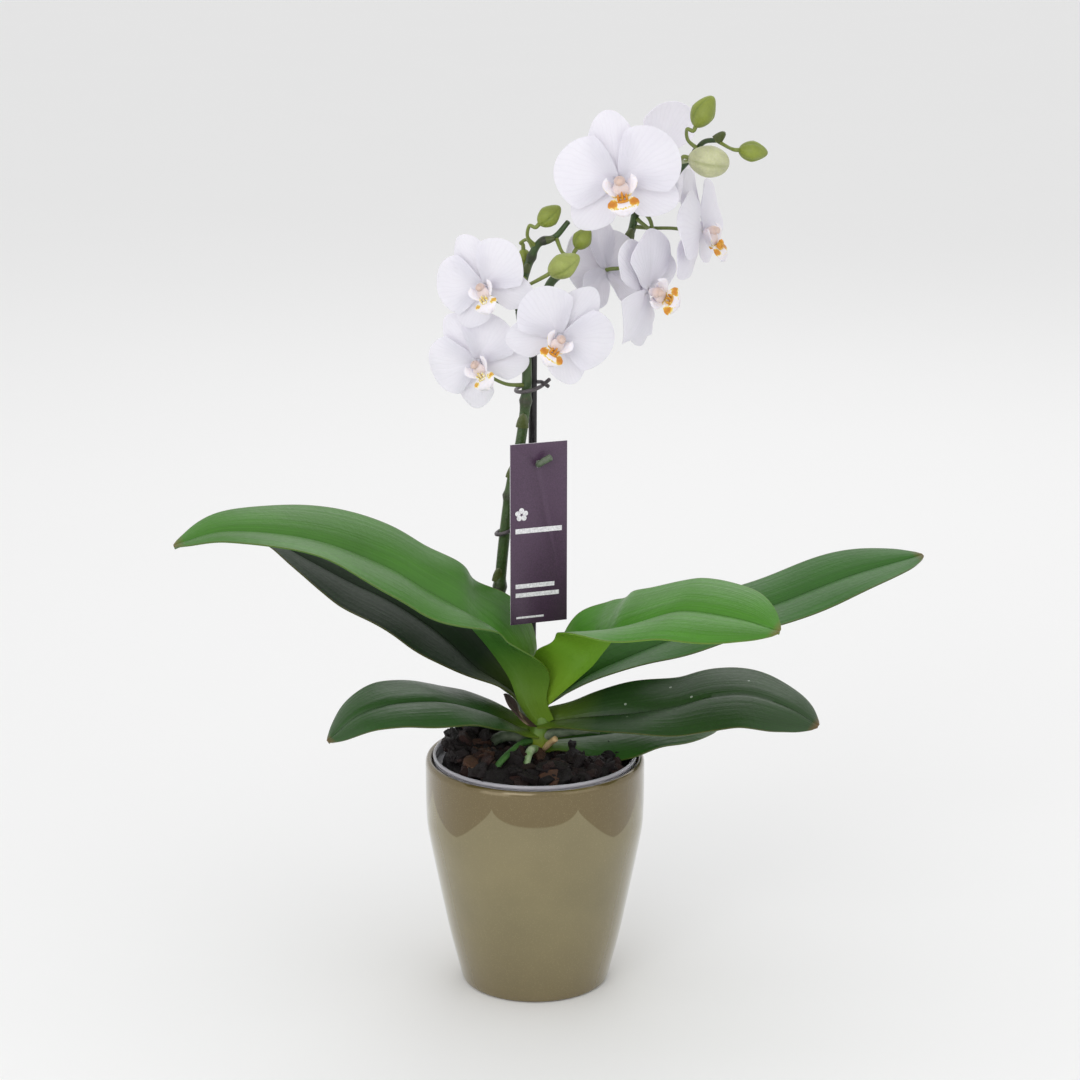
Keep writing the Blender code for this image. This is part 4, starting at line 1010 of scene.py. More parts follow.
def leaf_surface(shape, channel, ripple_seed):
    outline, half_width, angles, spine = shape[:4]
    clasp = shape[4] if len(shape) > 4 else (0.0, 0.2, 0.0, 0.15)
    path = smooth_path(spine, 10)
    run = np.concatenate([[0.0], np.cumsum(np.linalg.norm(np.diff(path, axis=0), axis=1))])
    run /= run[-1]
    shares, widths = smooth_path(outline, 8).T
    stations, rises, drops = zip(*angles)

    def middle(u):
        return Vector([float(np.interp(u, run, path[:, axis])) for axis in range(3)])

    def blended(values, u):
        """The angle at a share along, eased over its neighbours so that it doesn't turn sharply."""
        spots = [min(1.0, max(0.0, u + step * 0.02)) for step in range(-2, 3)]
        return math.radians(float(np.mean(np.interp(spots, stations, values))))

    def surface(u, v):
        centre = middle(u)
        way = (middle(min(u + 0.03, 1.0)) - middle(max(u - 0.03, 0.0))).normalized()
        back = way.cross(Vector((0, 0, 1))).normalized()
        if back.y < 0:
            back.negate()
        up = back.cross(way).normalized()
        if up.z < 0:
            up.negate()
        extra, spot = clasp[:2] if v > 0 else clasp[2:]
        extra *= math.exp(-(((u - spot) / (0.55 * spot)) ** 2)) * min(1.0, abs(v) * 3)
        half = half_width * max(0.02, float(np.interp(u, shares, widths)) + extra)
        ease = 1 / (1 + math.exp(-v * 14))
        angle = ease * blended(rises, u) + (1 - ease) * blended(drops, u)
        reach = v * half
        rounded = 0.05 * half * (1 - abs(v)) * abs(v) * 4 - 0.025 * half * v * v
        groove = -channel / MM * math.exp(-((v / 0.07) ** 2)) * min(1.0, u * 6)
        wave = 0.03 * half * v * v * math.sin(u * 17 + ripple_seed * 2.3 + (1.4 if v > 0 else 0.0))
        lift = rounded + groove + wave
        along_back = reach * math.cos(angle) - lift * math.sin(angle)
        along_up = reach * math.sin(angle) + lift * math.cos(angle)
        return above_rim(centre + along_back * back + along_up * up)

    return surface


def make_leaf(number):
    settings = mine("leaf")
    name = f"leaf_{number}"
    shape = LEAVES[name]
    surface = leaf_surface(shape, settings.channel, number)
    leaf = bent_grid(f"{name}_blade", surface, 110, 22, (0, -0.25, 1))
    weights = [1 - 0.75 * (2 * layer.uv[1] - 1) ** 2 for layer in corner_uvs(leaf)]
    walled(leaf, settings.thickness, weights, 0.35)
    young, aged, under = tuple(settings.upper), tuple(settings.aged), tuple(settings.under)
    looks = {
        1: lambda: leaf_finish("young_leaf_left", young, tone(58, 104, 36), 0.36, 0.6),
        2: lambda: leaf_finish("shaded_leaf_left", tone(30, 50, 26), tone(36, 58, 30), 0.5, 0.3, 0.22),
        3: lambda: leaf_finish("aged_leaf_left", aged, under, 0.34, 0.5),
        4: lambda: leaf_finish("young_leaf_right", tone(76, 142, 30), tone(100, 146, 34), 0.36, 0.8),
        # painted shade: leaf 5's faces are darkened and its yellow base nearly removed, for the shadow that leaf 4
        # casts on it
        5: lambda: leaf_finish("back_leaf_right_painted_shade", tone(56, 112, 34), tone(38, 66, 32), 0.38, 0.05, 0.32),
        6: dusted_leaf_finish,
        7: lambda: leaf_finish("aged_leaf_floor", tone(54, 102, 34), under, 0.36, 0.3),
    }
    finished(leaf, looks[number](), "leaf_green", name)


def corner_uvs(obj):
    """One texture place for each point of a grid."""
    places = [None] * len(obj.data.vertices)
    layer = obj.data.uv_layers.active.data
    for loop in obj.data.loops:
        places[loop.vertex_index] = layer[loop.index]
    return places


OLD_BRACT = ((0, -4, 20), (-7, -12, 26), (-12, -16, 34), (-18, -18, 44))


def make_old_bract():
    shape = (LONG_LEAF, 6.4, ((0.0, 40, 20), (1.0, 40, 20)), OLD_BRACT)
    bract = bent_grid("dry_bract", leaf_surface(shape, 0.2 * MM, 1), 26, 10, (0, -1, 0.4))
    walled(bract, 0.8 * MM)
    finished(bract, bract_finish(), "dry_bract", "old_bract")


# ---------------------------------------------------------------- flowers

# centre, size, yaw to the right, pitch down, roll to the right
FLOWERS = {
    "a": ((47, -17, 345), 0.97, 0, -3, -10),
    "b": ((74, 70, 346), 0.88, -150, -8, 48),
    "c": ((95, 26, 309.5), 0.92, 66, -5, -8),
    "d": ((63, -2, 280), 0.92, 52, 4, -60),
    "e": ((40, 16, 288), 0.80, -135, 18, 0),
    "f": ((-28, -20, 286), 0.78, -22, 0, -28),
    "g": ((-32, -4, 239), 0.80, -18, 4, -38),
    "h": ((14, -30, 259), 0.82, 8, 4, 34),
}
HUB_DEPTH = 4.0
STALK_RUN_IN = 2.5

# turn from straight up, broad petal or narrower sepal
# tepals that a flower holds out of line: turn added, by flower and by its usual turn
SWINGS = {"b": {0: 25, -126: -65}, "d": {0: 32, -65: -20}}
# how much narrower than usual a tepal's tip is, by flower and by its usual turn
POINTED = {"d": {-65: 0.86}}
TEPALS = ((0, False), (126, False), (-126, False), (65, True), (-65, True))


def round_sheet(name, place, rings):
    """A grid rounded to a disc, so that its edge has no corners, then laid by place(along, across)."""
    fresh_start()
    bpy.ops.mesh.primitive_grid_add(x_subdivisions=rings, y_subdivisions=rings, size=2)
    obj = named(name)
    fan = []
    for vertex in obj.data.vertices:
        s, t = vertex.co.x, vertex.co.y
        along, across = s * math.sqrt(1 - t * t / 2), t * math.sqrt(1 - s * s / 2)
        fan.append((math.hypot(along + 1.1, across) / 2.1, 0.5 + math.atan2(across, along + 1.1) / math.pi))
        vertex.co = place(along, across)
    layer = obj.data.uv_layers.active.data
    for loop in obj.data.loops:
        layer[loop.index].uv = fan[loop.vertex_index]
    obj.data.update()
    return obj


def tepal_place(turn, broad, pointed, chance, settings):
    """Lays a disc out as a petal or a sepal that faces the front, with its own cup, curl and ripple."""
    long_side = (settings.petal_length if broad else settings.sepal_length) / MM
    wide_side = (settings.petal_width if broad else settings.sepal_width) / MM
    angle = math.radians(turn + chance.uniform(-3, 3))
    shorter = 0.92 if turn and not broad else 1.0
    depth = -1.4 if broad else 1.6
    cup = chance.uniform(1.6, 2.8) if broad else chance.uniform(-0.4, 0.5)
    curl = chance.uniform(1.5, 4.5)
    point = (chance.uniform(0.0, 0.16) if broad else 0.18) + pointed
    phase = chance.uniform(0, 2 * math.pi)
    ripple = chance.uniform(0.5, 1.0) * (1 - pointed)
    skew = chance.uniform(-0.06, 0.06)

    def place(along, across):
        share = (along + 1) / 2
        claw = 0.42 + 0.58 * min(1.0, share / 0.5) ** 0.8 if broad else 0.62 + 0.38 * min(1.0, share / 0.55)
        tip = 1 - point * max(0.0, share - 0.5) / 0.5
        side = across * wide_side / 2 * claw * tip + skew * long_side * share * share
        out = 0.5 + share * (long_side * shorter - 0.5)
        edge = along * along + across * across
        groove = 0.8 * math.exp(-((across / 0.12) ** 2)) * (1 - share)
        lean = -cup * math.sin(share * 2.4) + curl * share**3 + (0.25 * cup if broad else 1.6) * across * across
        wave = ripple * edge**3 * math.sin(5 * math.atan2(across, along + 0.2) + phase)
        x = out * math.sin(angle) + side * math.cos(angle)
        z = out * math.cos(angle) - side * math.sin(angle)
        return Vector((x, depth + lean + wave + groove, z))

    return place


def lobe(name, place, along, across, thickness):
    """A small sheet of the lip, in millimetres, with its mark and blush painted on."""
    fresh_start()
    bpy.ops.mesh.primitive_grid_add(x_subdivisions=along, y_subdivisions=across, size=2)
    obj = named(name)
    marks = []
    for vertex in obj.data.vertices:
        vertex.co, mark = place((vertex.co.x + 1) / 2, vertex.co.y)
        marks.append(mark)
    paint(obj, "mark", marks)
    paint(obj, "blush", [0.0] * len(marks))
    modifier = obj.modifiers.new("wall", "SOLIDIFY")
    modifier.thickness = thickness
    modifier.offset = 0.0
    apply_all(obj)
    return obj


def side_lobe(side):
    """A rounded ear beside the column that flares outwards, orange at its foot with a thin yellow rim."""

    def place(u, v):
        wide = float(np.interp(u, (0.0, 0.15, 0.4, 0.65, 0.85, 1.0), (0.45, 0.75, 1.0, 0.98, 0.7, 0.12)))
        out = 1.6 + 5.0 * math.sin(u * 1.6)
        x = side * (out + 3.9 * wide * v + 0.5 * wide)
        y = -8.6 - 3.4 * wide * v + 1.6 * v * v
        z = -11.0 + 12.6 * u + 1.2 * v
        foot = max(0.0, 1 - u * 3.4) * 0.95
        stripe = 0.62 * math.exp(-(((v + 0.35) / 0.22) ** 2)) * max(0.0, 1 - u * 1.4)
        rim = 0.5 * max(0.0, (v - 0.75) / 0.25) * math.sin(min(1.0, u * 1.3) * math.pi)
        return Vector((x, y, z)), max(foot, stripe, rim)

    return place


def mid_lobe(u, v):
    """The lip's front lobe: a broad tray with orange shoulders and a yellow band, then a white frill."""
    stations = (0.0, 0.15, 0.35, 0.5, 0.65, 0.8, 0.92, 1.0)
    widths = (3.0, 5.0, 8.8, 9.2, 7.8, 6.0, 4.2, 1.2)
    wide = float(np.interp(u, stations, widths))
    frill = 0.6 * math.sin(v * 11.0) * max(0.0, u - 0.5)
    y = -9.0 - 6.0 * math.sin(u * 2.1) + 1.8 * v * v
    z = -9.0 - 11.0 * u + 1.6 * v * v * (1 - u) + frill
    shoulder = 1.1 * min(1.0, max(0.0, (abs(v) - 0.3) / 0.25)) * math.exp(-(((u - 0.38) / 0.17) ** 2))
    band = 0.5 * math.exp(-(((u - 0.58) / 0.08) ** 2))
    throat = 0.9 * max(0.0, 1 - u * 4.0)
    return Vector((v * wide, y, z)), max(shoulder, band, throat)


def rounded_bud(name, centre, radii, lean, blush, mark):
    """A small swollen body of the lip, such as the column or the callus."""
    fresh_start()
    bpy.ops.mesh.primitive_uv_sphere_add(segments=20, ring_count=14, radius=1.0)
    obj = named(name)
    turn = Euler((math.radians(lean), 0, 0)).to_matrix()
    shades = []
    for vertex in obj.data.vertices:
        spot = vertex.co.copy()
        shades.append(blush * min(1.0, max(0.0, 0.5 - 0.7 * spot.y)))
        waist = 1 - 0.22 * math.exp(-(((spot.y - 0.25) / 0.35) ** 2))
        local = Vector((spot.x * radii[0] * waist, spot.y * radii[1], spot.z * radii[2] * waist))
        vertex.co = turn @ local + Vector(centre)
    paint(obj, "mark", [mark] * len(shades))
    paint(obj, "blush", shades)
    return obj


def lip_master():
    """The column over its three-lobed lip, modelled once about the flower's centre, in millimetres."""
    pieces = [
        rounded_bud("column", (0, -7.0, -0.6), (3.6, 5.4, 3.4), -12, 1.0, 0.0),
        rounded_bud("anther_cap", (0, -11.0, -0.2), (2.6, 2.2, 2.4), -20, 1.3, 0.0),
        rounded_bud("lip_claw", (0, -7.4, -5.2), (5.2, 3.2, 5.4), 0, 0.55, 0.0),
        rounded_bud("crest_middle", (0, -12.6, -8.6), (0.85, 1.5, 3.2), 14, 0.0, 0.8),
        rounded_bud("crest_left", (-2.4, -12.2, -9.6), (0.9, 1.5, 2.8), 14, 0.0, 0.8),
        rounded_bud("crest_right", (2.4, -12.2, -9.6), (0.9, 1.5, 2.8), 14, 0.0, 0.8),
        rounded_bud("crest_foot", (0, -12.4, -11.6), (3.6, 1.5, 1.0), 0, 0.0, 0.75),
        lobe("ear_left", side_lobe(-1), 14, 12, 0.45),
        lobe("ear_right", side_lobe(1), 14, 12, 0.45),
        lobe("front_lobe", mid_lobe, 18, 12, 0.55),
    ]
    for side in (-1, 1):
        pieces.append(whisker(side))
    return joined("lip_master", *pieces)


def whisker(side):
    """One of the two short tendrils at the lip's tip."""
    fresh_start()
    bpy.ops.mesh.primitive_cylinder_add(vertices=8, radius=0.28, depth=4.0)
    obj = named("tendril")
    bpy.ops.object.mode_set(mode="EDIT")
    bpy.ops.mesh.select_all(action="SELECT")
    bpy.ops.mesh.subdivide(number_cuts=3)
    bpy.ops.object.mode_set(mode="OBJECT")
    for vertex in obj.data.vertices:
        share = (vertex.co.z + 2.0) / 4.0
        thin = 1 - 0.6 * share
        vertex.co = Vector((side * (0.6 + 2.2 * share * share) + vertex.co.x * thin, -14.2 - 1.6 * share + vertex.co.y * thin, -18.0 + 1.4 * share))
    paint(obj, "mark", [0.0] * len(obj.data.vertices))
    paint(obj, "blush", [0.0] * len(obj.data.vertices))
    return obj


def flower_turn(yaw, pitch, roll):
    return Euler((math.radians(pitch), math.radians(roll), math.radians(yaw)), "YXZ")


def set_at_flower(obj, letter):
    """Carries a mesh modelled in millimetres about a flower's centre to its place on the plant."""
    centre, size, yaw, pitch, roll = FLOWERS[letter]
    turn = flower_turn(yaw, pitch, roll).to_matrix()
    for vertex in obj.data.vertices:
        vertex.co = above_rim(Vector(centre) + turn @ vertex.co * size)


# how strongly a flower's lip is marked, where it isn't full
PALER_MARKS = {"c": 0.8, "d": 0.8, "f": 0.55, "g": 0.55}


def make_flower(letter, lip):
    settings = mine("flower")
    chance = random.Random(ord(letter))
    sheets = []
    for turn, broad in TEPALS:
        held = turn + SWINGS.get(letter, {}).get(turn, 0)
        pointed = POINTED.get(letter, {}).get(turn, 0.0)
        sheet = round_sheet(f"tepal_{turn}", tepal_place(held, broad, pointed, chance, settings), 30)
        walled(sheet, settings.thickness / MM)
        sheets.append(sheet)
    sheets.append(rounded_bud("receptacle", (0, 0.6, 0), (3.4, 2.6, 3.4), 0, 0.0, 0.0))
    petals = joined(f"flower_{letter}_petals", *sheets)
    set_at_flower(petals, letter)
    weld(petals, outward=False)
    finished(petals, petal_finish(), "petal_white", f"flower_{letter}_tepals")
    pick(lip)
    bpy.ops.object.duplicate()
    own_lip = named(f"flower_{letter}_lip_detail")
    marks = np.zeros(len(own_lip.data.vertices), np.float32)
    own_lip.data.attributes["mark"].data.foreach_get("value", marks)
    paint(own_lip, "mark", marks * PALER_MARKS.get(letter, 1.0))
    set_at_flower(own_lip, letter)
    finished(own_lip, lip_finish(), "lip_orange", f"flower_{letter}_lip")


BUDS = {
    "bud_1": ((95, 10, 379), 19, 14, (0.45, -0.1, 0.85)),
    "bud_2": ((98, 0, 353), 24, 18, (1.0, -0.1, -0.15)),
    "bud_3": ((123, 10, 357), 16, 12, (1.0, 0.0, -0.1)),
    "bud_4": ((8, 0, 322), 15, 12, (0.7, 0.0, 0.6)),
    "bud_5": ((27, -2, 309), 13, 11, (0.5, 0.0, 0.8)),
    "bud_6": ((16, -19, 297), 19, 14.5, (0.8, -0.1, 0.5)),
    "bud_7": ((-6, 17, 295), 11, 8, (0.1, 0.1, -1.0)),
}


def make_bud(name):
    """A closed bud: three sepals meeting in seams, a keel down each, and a beak at its tip."""
    centre, long_side, wide_side, direction = BUDS[name]
    fresh_start()
    bpy.ops.mesh.primitive_uv_sphere_add(segments=48, ring_count=32, radius=1.0)
    obj = named(f"{name}_closed")
    chance = random.Random(name)
    first = chance.uniform(0, 2 * math.pi)
    turn = Vector(direction).normalized().to_track_quat("Z", "Y").to_matrix()
    beak = Vector((0.35, -0.1, 0.0)) if name != "bud_2" else Vector((0.0, 0.0, 0.0))
    seams = []
    for vertex in obj.data.vertices:
        x, y, z = vertex.co
        angle = math.atan2(y, x) + first
        near_seam = math.exp(-((math.sin(1.5 * angle) / 0.16) ** 2)) * (1 - 0.6 * abs(z))
        keel = 0.05 * math.cos(3 * angle)
        blunt = 0.06 if name == "bud_2" else 0.24
        narrow = 1 - blunt * max(0.0, z) - 0.1 * max(0.0, -z)
        side = wide_side / 2 * narrow * (1 - 0.09 * near_seam - keel)
        tip = max(0.0, z - 0.55) / 0.45
        out = long_side / 2 * z * (1 + (0.1 if name != "bud_2" else -0.04) * tip)
        local = Vector((x * side, y * side, out)) + beak * tip * tip * 2.2
        seams.append(0.75 * near_seam)
        vertex.co = above_rim(Vector(centre) + turn @ local)
    paint(obj, "seam", seams)
    if name == "bud_2":
        look = bud_finish("bud_opening", tone(196, 197, 158), tone(140, 148, 90))
    elif name == "bud_6":
        look = bud_finish("bud_pale", tone(160, 170, 88), tone(112, 128, 50))
    else:
        look = bud_finish("bud_green", tuple(mine("flower").bud), tone(104, 122, 38))
    finished(obj, look, "bud_green", name)


# ---------------------------------------------------------------- flower spike

SPIKE = ((3, 3, 18), (-5, 15, 22), (-15, 27, 41), (-20.5, 30, 68), (-21.4, 28, 88), (-17.6, 22, 132),
         (-13.4, 20, 163), (-8.1, 18, 188), (-4.8, 16.5, 218), (-5.2, 16.5, 242), (-8.5, 17, 264))
LEFT_BRANCH = ((-8.6, 17.0, 264.6), (-9.3, 17.1, 269.5), (-7.2, 14, 280), (-2.9, 11, 294), (2.4, 8, 305),
               (11.5, 6, 309), (19, 4, 318))
RIGHT_BRANCH = ((-5.5, 16.8, 247), (-1, 22, 257), (5, 31, 268), (12, 38, 280), (35, 47, 291), (54, 46, 302),
                (60, 40, 321), (75, 36, 335), (89, 32, 350), (96, 26, 360), (104, 21, 362))

SPIKE_STALKS = {"g": ((-5, 16, 221), (-17, 10, 223), (-28, 7, 230))}
LEFT_STALKS = {
    "f": ((-9, 16, 273), (-17, 5, 271), (-26, -8, 278)),
    "h": ((-8, 15, 277), (-2, 3, 270), (9, -14, 261)),
    "bud_4": ((1, 8.5, 303), (-4, 5, 309), (-3, 2, 316)),
    "bud_5": ((12, 6, 309), (16, -1, 301), (22, -3, 300)),
    "bud_6": ((-5.5, 13, 285), (-7, 0, 282), (-3, -12, 285)),
    "bud_7": ((0, 9, 300), (-4, 14, 306), (-8, 16, 304)),
}
RIGHT_STALKS = {
    "a": ((60, 40, 320), (58, 20, 330), (51, -4, 342)),
    "b": ((77, 36, 337), (84, 48, 340), (84, 62, 343)),
    "c": ((57, 44, 309), (67, 38, 309), (79, 31, 310)),
    "d": ((60, 40, 321), (67, 35, 313), (67, 24, 300), (60, 12, 288)),
    "e": ((59, 42, 314), (68, 22, 306), (57, 9, 293)),
    "bud_1": ((93, 29, 356), (87, 21, 362), (86, 14, 369)),
    "bud_2": ((88, 32, 349), (84, 18, 350), (83, 6, 353)),
    "bud_3": ((103, 21.5, 362), (109, 15, 359)),
}


def stalk_end(carried):
    """The last points of the stalk that meets this flower or bud along its own line."""
    if carried in FLOWERS:
        centre, size, yaw, pitch, roll = FLOWERS[carried]
        away = flower_turn(yaw, pitch, roll).to_matrix() @ Vector((0, 1, 0))
        end = Vector(centre) + away * (HUB_DEPTH / 2 * size - 0.3)
    else:
        centre, long_side, _, direction = BUDS[carried]
        away = -Vector(direction).normalized()
        end = Vector(centre) + away * (long_side / 2 - 0.5)
    return tuple(end + away * (STALK_RUN_IN + 0.6)), tuple(end)


def node_bract(name, foot, way, size):
    """The small pointed scale that sits at a node and hugs the stem."""
    way = Vector(way).normalized()
    side = way.cross(Vector((0.0, -1.0, 0.15))).normalized()
    out = side.cross(way).normalized()
    fresh_start()
    bpy.ops.mesh.primitive_grid_add(x_subdivisions=10, y_subdivisions=8, size=2)
    obj = named(name)
    for vertex in obj.data.vertices:
        share, across = (vertex.co.x + 1) / 2, vertex.co.y
        half = size * 0.62 * math.sqrt(max(0.0, 1 - share**1.6)) + 0.05
        wrap = across * 1.25
        bulge = size * 0.42 * (1 + 0.35 * share) * math.cos(wrap) + 0.25 * share * size
        spot = Vector(foot) + way * (share * size * 1.5) + side * (half * math.sin(wrap)) - out * (-bulge)
        vertex.co = above_rim(spot)
    walled(obj, 0.35 * MM)
    paint(obj, "near_node", [0.55] * len(obj.data.vertices))
    paint(obj, "thin", [0.35] * len(obj.data.vertices))
    return obj


def make_stem(name, cad_node, line, radii, nodes_at, stalks, bracts):
    pieces = [tube(name, line, radii, steps=9, sides=5, nodes_at=nodes_at)]
    for carried, points in stalks.items():
        ends = stalk_end(carried)
        stalk = tube(f"{name}_{carried}", (*points, *ends), (1.3, 1.05, 1.0, 1.25), steps=6, sides=3)
        paint(stalk, "thin", [0.75 if carried in BUDS else 0.5] * len(stalk.data.vertices))
        pieces.append(stalk)
    for number, (foot, way, size) in enumerate(bracts):
        pieces.append(node_bract(f"{name}_bract_{number}", foot, way, size))
    stem = joined(name, *pieces)
    finished(stem, stem_finish(), "stem_green", cad_node)


# ---------------------------------------------------------------- clips and tag


def ring_points(centre, radii, start, sweep, count):
    points = []
    for step in range(count + 1):
        angle = math.radians(start + sweep * step / count)
        x = centre[0] + radii[0] * math.cos(angle)
        y = centre[1] + radii[1] * math.sin(angle)
        points.append((x, y, centre[2] + 2.0 * math.cos(angle)))
    return points


def make_clips():
    wire = moulded_finish("clip_wire", tone(82, 76, 79), 0.4, 420.0, 0.00015)
    upper = ring_points((-3.0, 20.0, 219), (8.0, 10.5), 20, 318, 14)
    line = [(8.5, 13.0, 225), *reversed(upper), (8.0, 21.0, 219)]
    clip = tube("stake_clip", line, (1.15, 1.15), steps=5, sides=4)
    finished(clip, wire, "clip_wire", "clip_upper")
    ring = tube("spike_tie", ring_points((-17.6, 22.0, 132), (5.2, 5.2), 40, 310, 10), (1.15, 1.15), steps=5, sides=4)
    finished(ring, wire, "clip_wire", "clip_lower")


TAG_CENTRE = Vector((2.2, -4.0, 137.5))
TAG_YAW = 20.0
TAG_SIZE = (35.0, 0.8, 108.0)
TAG_HOLE_DROP = 12.5
PEG_POINTS = ((7, -5, 5), (3, -4.2, 2.5), (0, -2.2, 0), (0, 2, 0), (0.6, 14, 0), (1.6, 24, 0), (0.6, 31, 0), (-3, 33.5, 0))


def onto_tag(obj):
    """Carries a mesh drawn upright about the tag's centre, in millimetres, to the tag's place."""
    turn = Euler((0, 0, math.radians(TAG_YAW))).to_matrix()
    for vertex in obj.data.vertices:
        vertex.co = above_rim(TAG_CENTRE + turn @ vertex.co)


def make_tag():
    """A thin card with softened corners and a punched hole, its cut edge showing pale."""
    wide, thick, tall = TAG_SIZE
    fresh_start()
    bpy.ops.mesh.primitive_cube_add(size=1.0)
    card = named("tag_card")
    bpy.ops.object.mode_set(mode="EDIT")
    bpy.ops.mesh.select_all(action="SELECT")
    bpy.ops.transform.resize(value=(wide, thick, tall))
    bpy.ops.object.mode_set(mode="OBJECT")
    hole_z = tall / 2 - TAG_HOLE_DROP
    fresh_start()
    bpy.ops.mesh.primitive_cylinder_add(vertices=40, radius=2.2, depth=6, location=(0, 0, hole_z), rotation=(math.pi / 2, 0, 0))
    punch = named("punch")
    cut = card.modifiers.new("hole", "BOOLEAN")
    cut.operation = "DIFFERENCE"
    cut.object = punch
    cut.solver = "EXACT"
    soft = card.modifiers.new("softened", "BEVEL")
    soft.width = 0.12
    soft.segments = 2
    soft.limit_method = "ANGLE"
    apply_all(card)
    bpy.data.objects.remove(punch, do_unlink=True)
    edges = card.data.attributes.new("cut_edge", "FLOAT", "FACE")
    edges.data.foreach_set("value", [1.0 if abs(face.normal.y) < 0.8 else 0.0 for face in card.data.polygons])
    onto_tag(card)
    finished(card, card_finish(), "tag_card", "tag", angle=30)


# rows of plain bars on the tag: left edge, height of the middle, length, thickness
TAG_BARS = ((-14.4, 2.2, 28.6, 3.0), (-14.4, -31.0, 24.0, 2.6), (-14.4, -36.4, 26.8, 2.6), (-14.0, -50.0, 17.0, 1.2))


def make_tag_print():
    """Plain bars and a simple five-petalled flower, a print film on the card's face."""
    front = -(TAG_SIZE[1] / 2 + 0.05)
    pieces = []
    for number, (left, height, long_side, tall) in enumerate(TAG_BARS):
        fresh_start()
        bpy.ops.mesh.primitive_cube_add(size=1.0, location=(left + long_side / 2, front, height))
        bar = named(f"bar_{number}")
        bpy.ops.object.mode_set(mode="EDIT")
        bpy.ops.mesh.select_all(action="SELECT")
        bpy.ops.transform.resize(value=(long_side, 0.06, tall))
        bpy.ops.mesh.bevel(offset=0.02, segments=1)
        bpy.ops.object.mode_set(mode="OBJECT")
        bpy.ops.object.transform_apply(location=True, rotation=True, scale=True)
        pieces.append(bar)
    for step in range(5):
        angle = 2 * math.pi * step / 5
        fresh_start()
        middle = (-10.6 + 2.5 * math.sin(angle), front, 12.0 + 2.5 * math.cos(angle))
        bpy.ops.mesh.primitive_cylinder_add(vertices=24, radius=1.55, depth=0.06, location=middle, rotation=(math.pi / 2, 0, 0))
        petal = named(f"print_petal_{step}")
        bpy.ops.object.transform_apply(location=True, rotation=True, scale=True)
        pieces.append(petal)
    fresh_start()
    bpy.ops.mesh.primitive_torus_add(major_segments=28, minor_segments=6, major_radius=0.95, minor_radius=0.16, location=(-10.6, front, 12.0), rotation=(math.pi / 2, 0, 0))
    ring = named("print_ring")
    bpy.ops.object.transform_apply(location=True, rotation=True, scale=True)
    pieces.append(ring)
    drawn = joined("tag_print", *pieces)
    onto_tag(drawn)
    white = moulded_finish("tag_print_ink", tuple(mine("tag").print), 0.5, 900.0, 0.00003)
    finished(drawn, white, "tag_card", angle=30)


def make_tag_peg():
    x, y, z = TAG_CENTRE
    hole_z = z + TAG_SIZE[2] / 2 - TAG_HOLE_DROP
    line = [(x + right, y + back, hole_z + up) for right, back, up in PEG_POINTS]
    peg = tube("tag_hanger", line, (2.0, 1.9, 1.2, 1.1, 1.1, 1.1, 1.1, 1.1), steps=7, sides=5)
    finished(peg, moulded_finish("peg_grey", tone(92, 104, 84), 0.45, 380.0, 0.0002), "peg_grey", "tag_peg")


# ---------------------------------------------------------------- stage


def make_stage():
    settings = mine("stage")
    fresh_start()
    bpy.ops.mesh.primitive_plane_add(size=60.0, location=(0, 0, -0.0002))
    floor = named("studio_floor")
    material, tree, shader, where = begin("pale_floor", 0.75)
    drift = placed_group(tree, "Mottled tone", where.outputs["Object"], Scale=3.0, Contrast=0.3)
    body = tuple(settings.floor)
    join(tree, mix(tree, drift.outputs["Tone"], tuple(0.97 * part for part in body), body), shader.inputs["Base Color"])
    floor.data.materials.append(material)
    world = bpy.data.worlds.new("soft_studio")
    bpy.context.scene.world = world
    world.use_nodes = True
    backdrop = world.node_tree.nodes["Background"]
    backdrop.inputs["Color"].default_value = (1.0, 1.0, 1.0, 1.0)
    backdrop.inputs["Strength"].default_value = settings.ambient
    lights = (
        ("key", (-0.6, -1.9, 1.35), 1.2, settings.key),
        ("fill", (1.5, -1.3, 1.0), 1.4, settings.key * 0.3),
        ("low", (-1.2, -1.4, 0.4), 1.0, settings.key * 0.35),
        ("back", (0.3, 1.5, 1.6), 1.2, settings.key * 0.45),
    )
    for name, place, size, power in lights:
        fresh_start()
        aim = (Vector((0.0, 0.0, 0.28)) - Vector(place)).to_track_quat("-Z", "Y").to_euler()
        bpy.ops.object.light_add(type="AREA", location=place, rotation=aim)
        light = named(f"{name}_light")
        light.data.size = size
        light.data.energy = power
    fresh_start()
    bpy.ops.object.camera_add(location=(0.003, -1.6, 0.71), rotation=(math.radians(74.7), 0, 0))
    camera = named("front_camera")
    camera.data.lens = 95.0
    camera.data.sensor_width = 36.0
    bpy.context.scene.camera = camera
    bpy.context.scene.view_settings.view_transform = "Standard"


# ---------------------------------------------------------------- operators


class Build(bpy.types.Operator):
    """Builds one group of the orchid's pieces"""

    bl_idname = "orchid.build"
    bl_label = "Build"
    bl_options = {"REGISTER", "UNDO"}

    def execute(self, context):
        self.build()
        return {"FINISHED"}


class BuildCoverPot(Build):
    """Spins the glazed cover pot"""

    bl_idname = "orchid.cover_pot"
    bl_label = "Cover Pot"

    def build(self):
        make_cover_pot()


class BuildGrowPot(Build):
    """Spins the clear grow pot with its beaded rim"""

    bl_idname = "orchid.grow_pot"
    bl_label = "Grow Pot"

    def build(self):
        make_grow_pot()


class BuildBark(Build):
    """Fills the grow pot with bark: the bed, the large chips and the loose ones"""

    bl_idname = "orchid.bark"
    bl_label = "Bark"

    def build(self):
        make_bark_bed()
        make_big_chips()
        make_loose_bark()


class BuildCrown(Build):
    """Models the short stem that carries the leaves, with its dry bract"""

    bl_idname = "orchid.crown"
    bl_label = "Crown"

    def build(self):
        make_crown()
        make_old_bract()


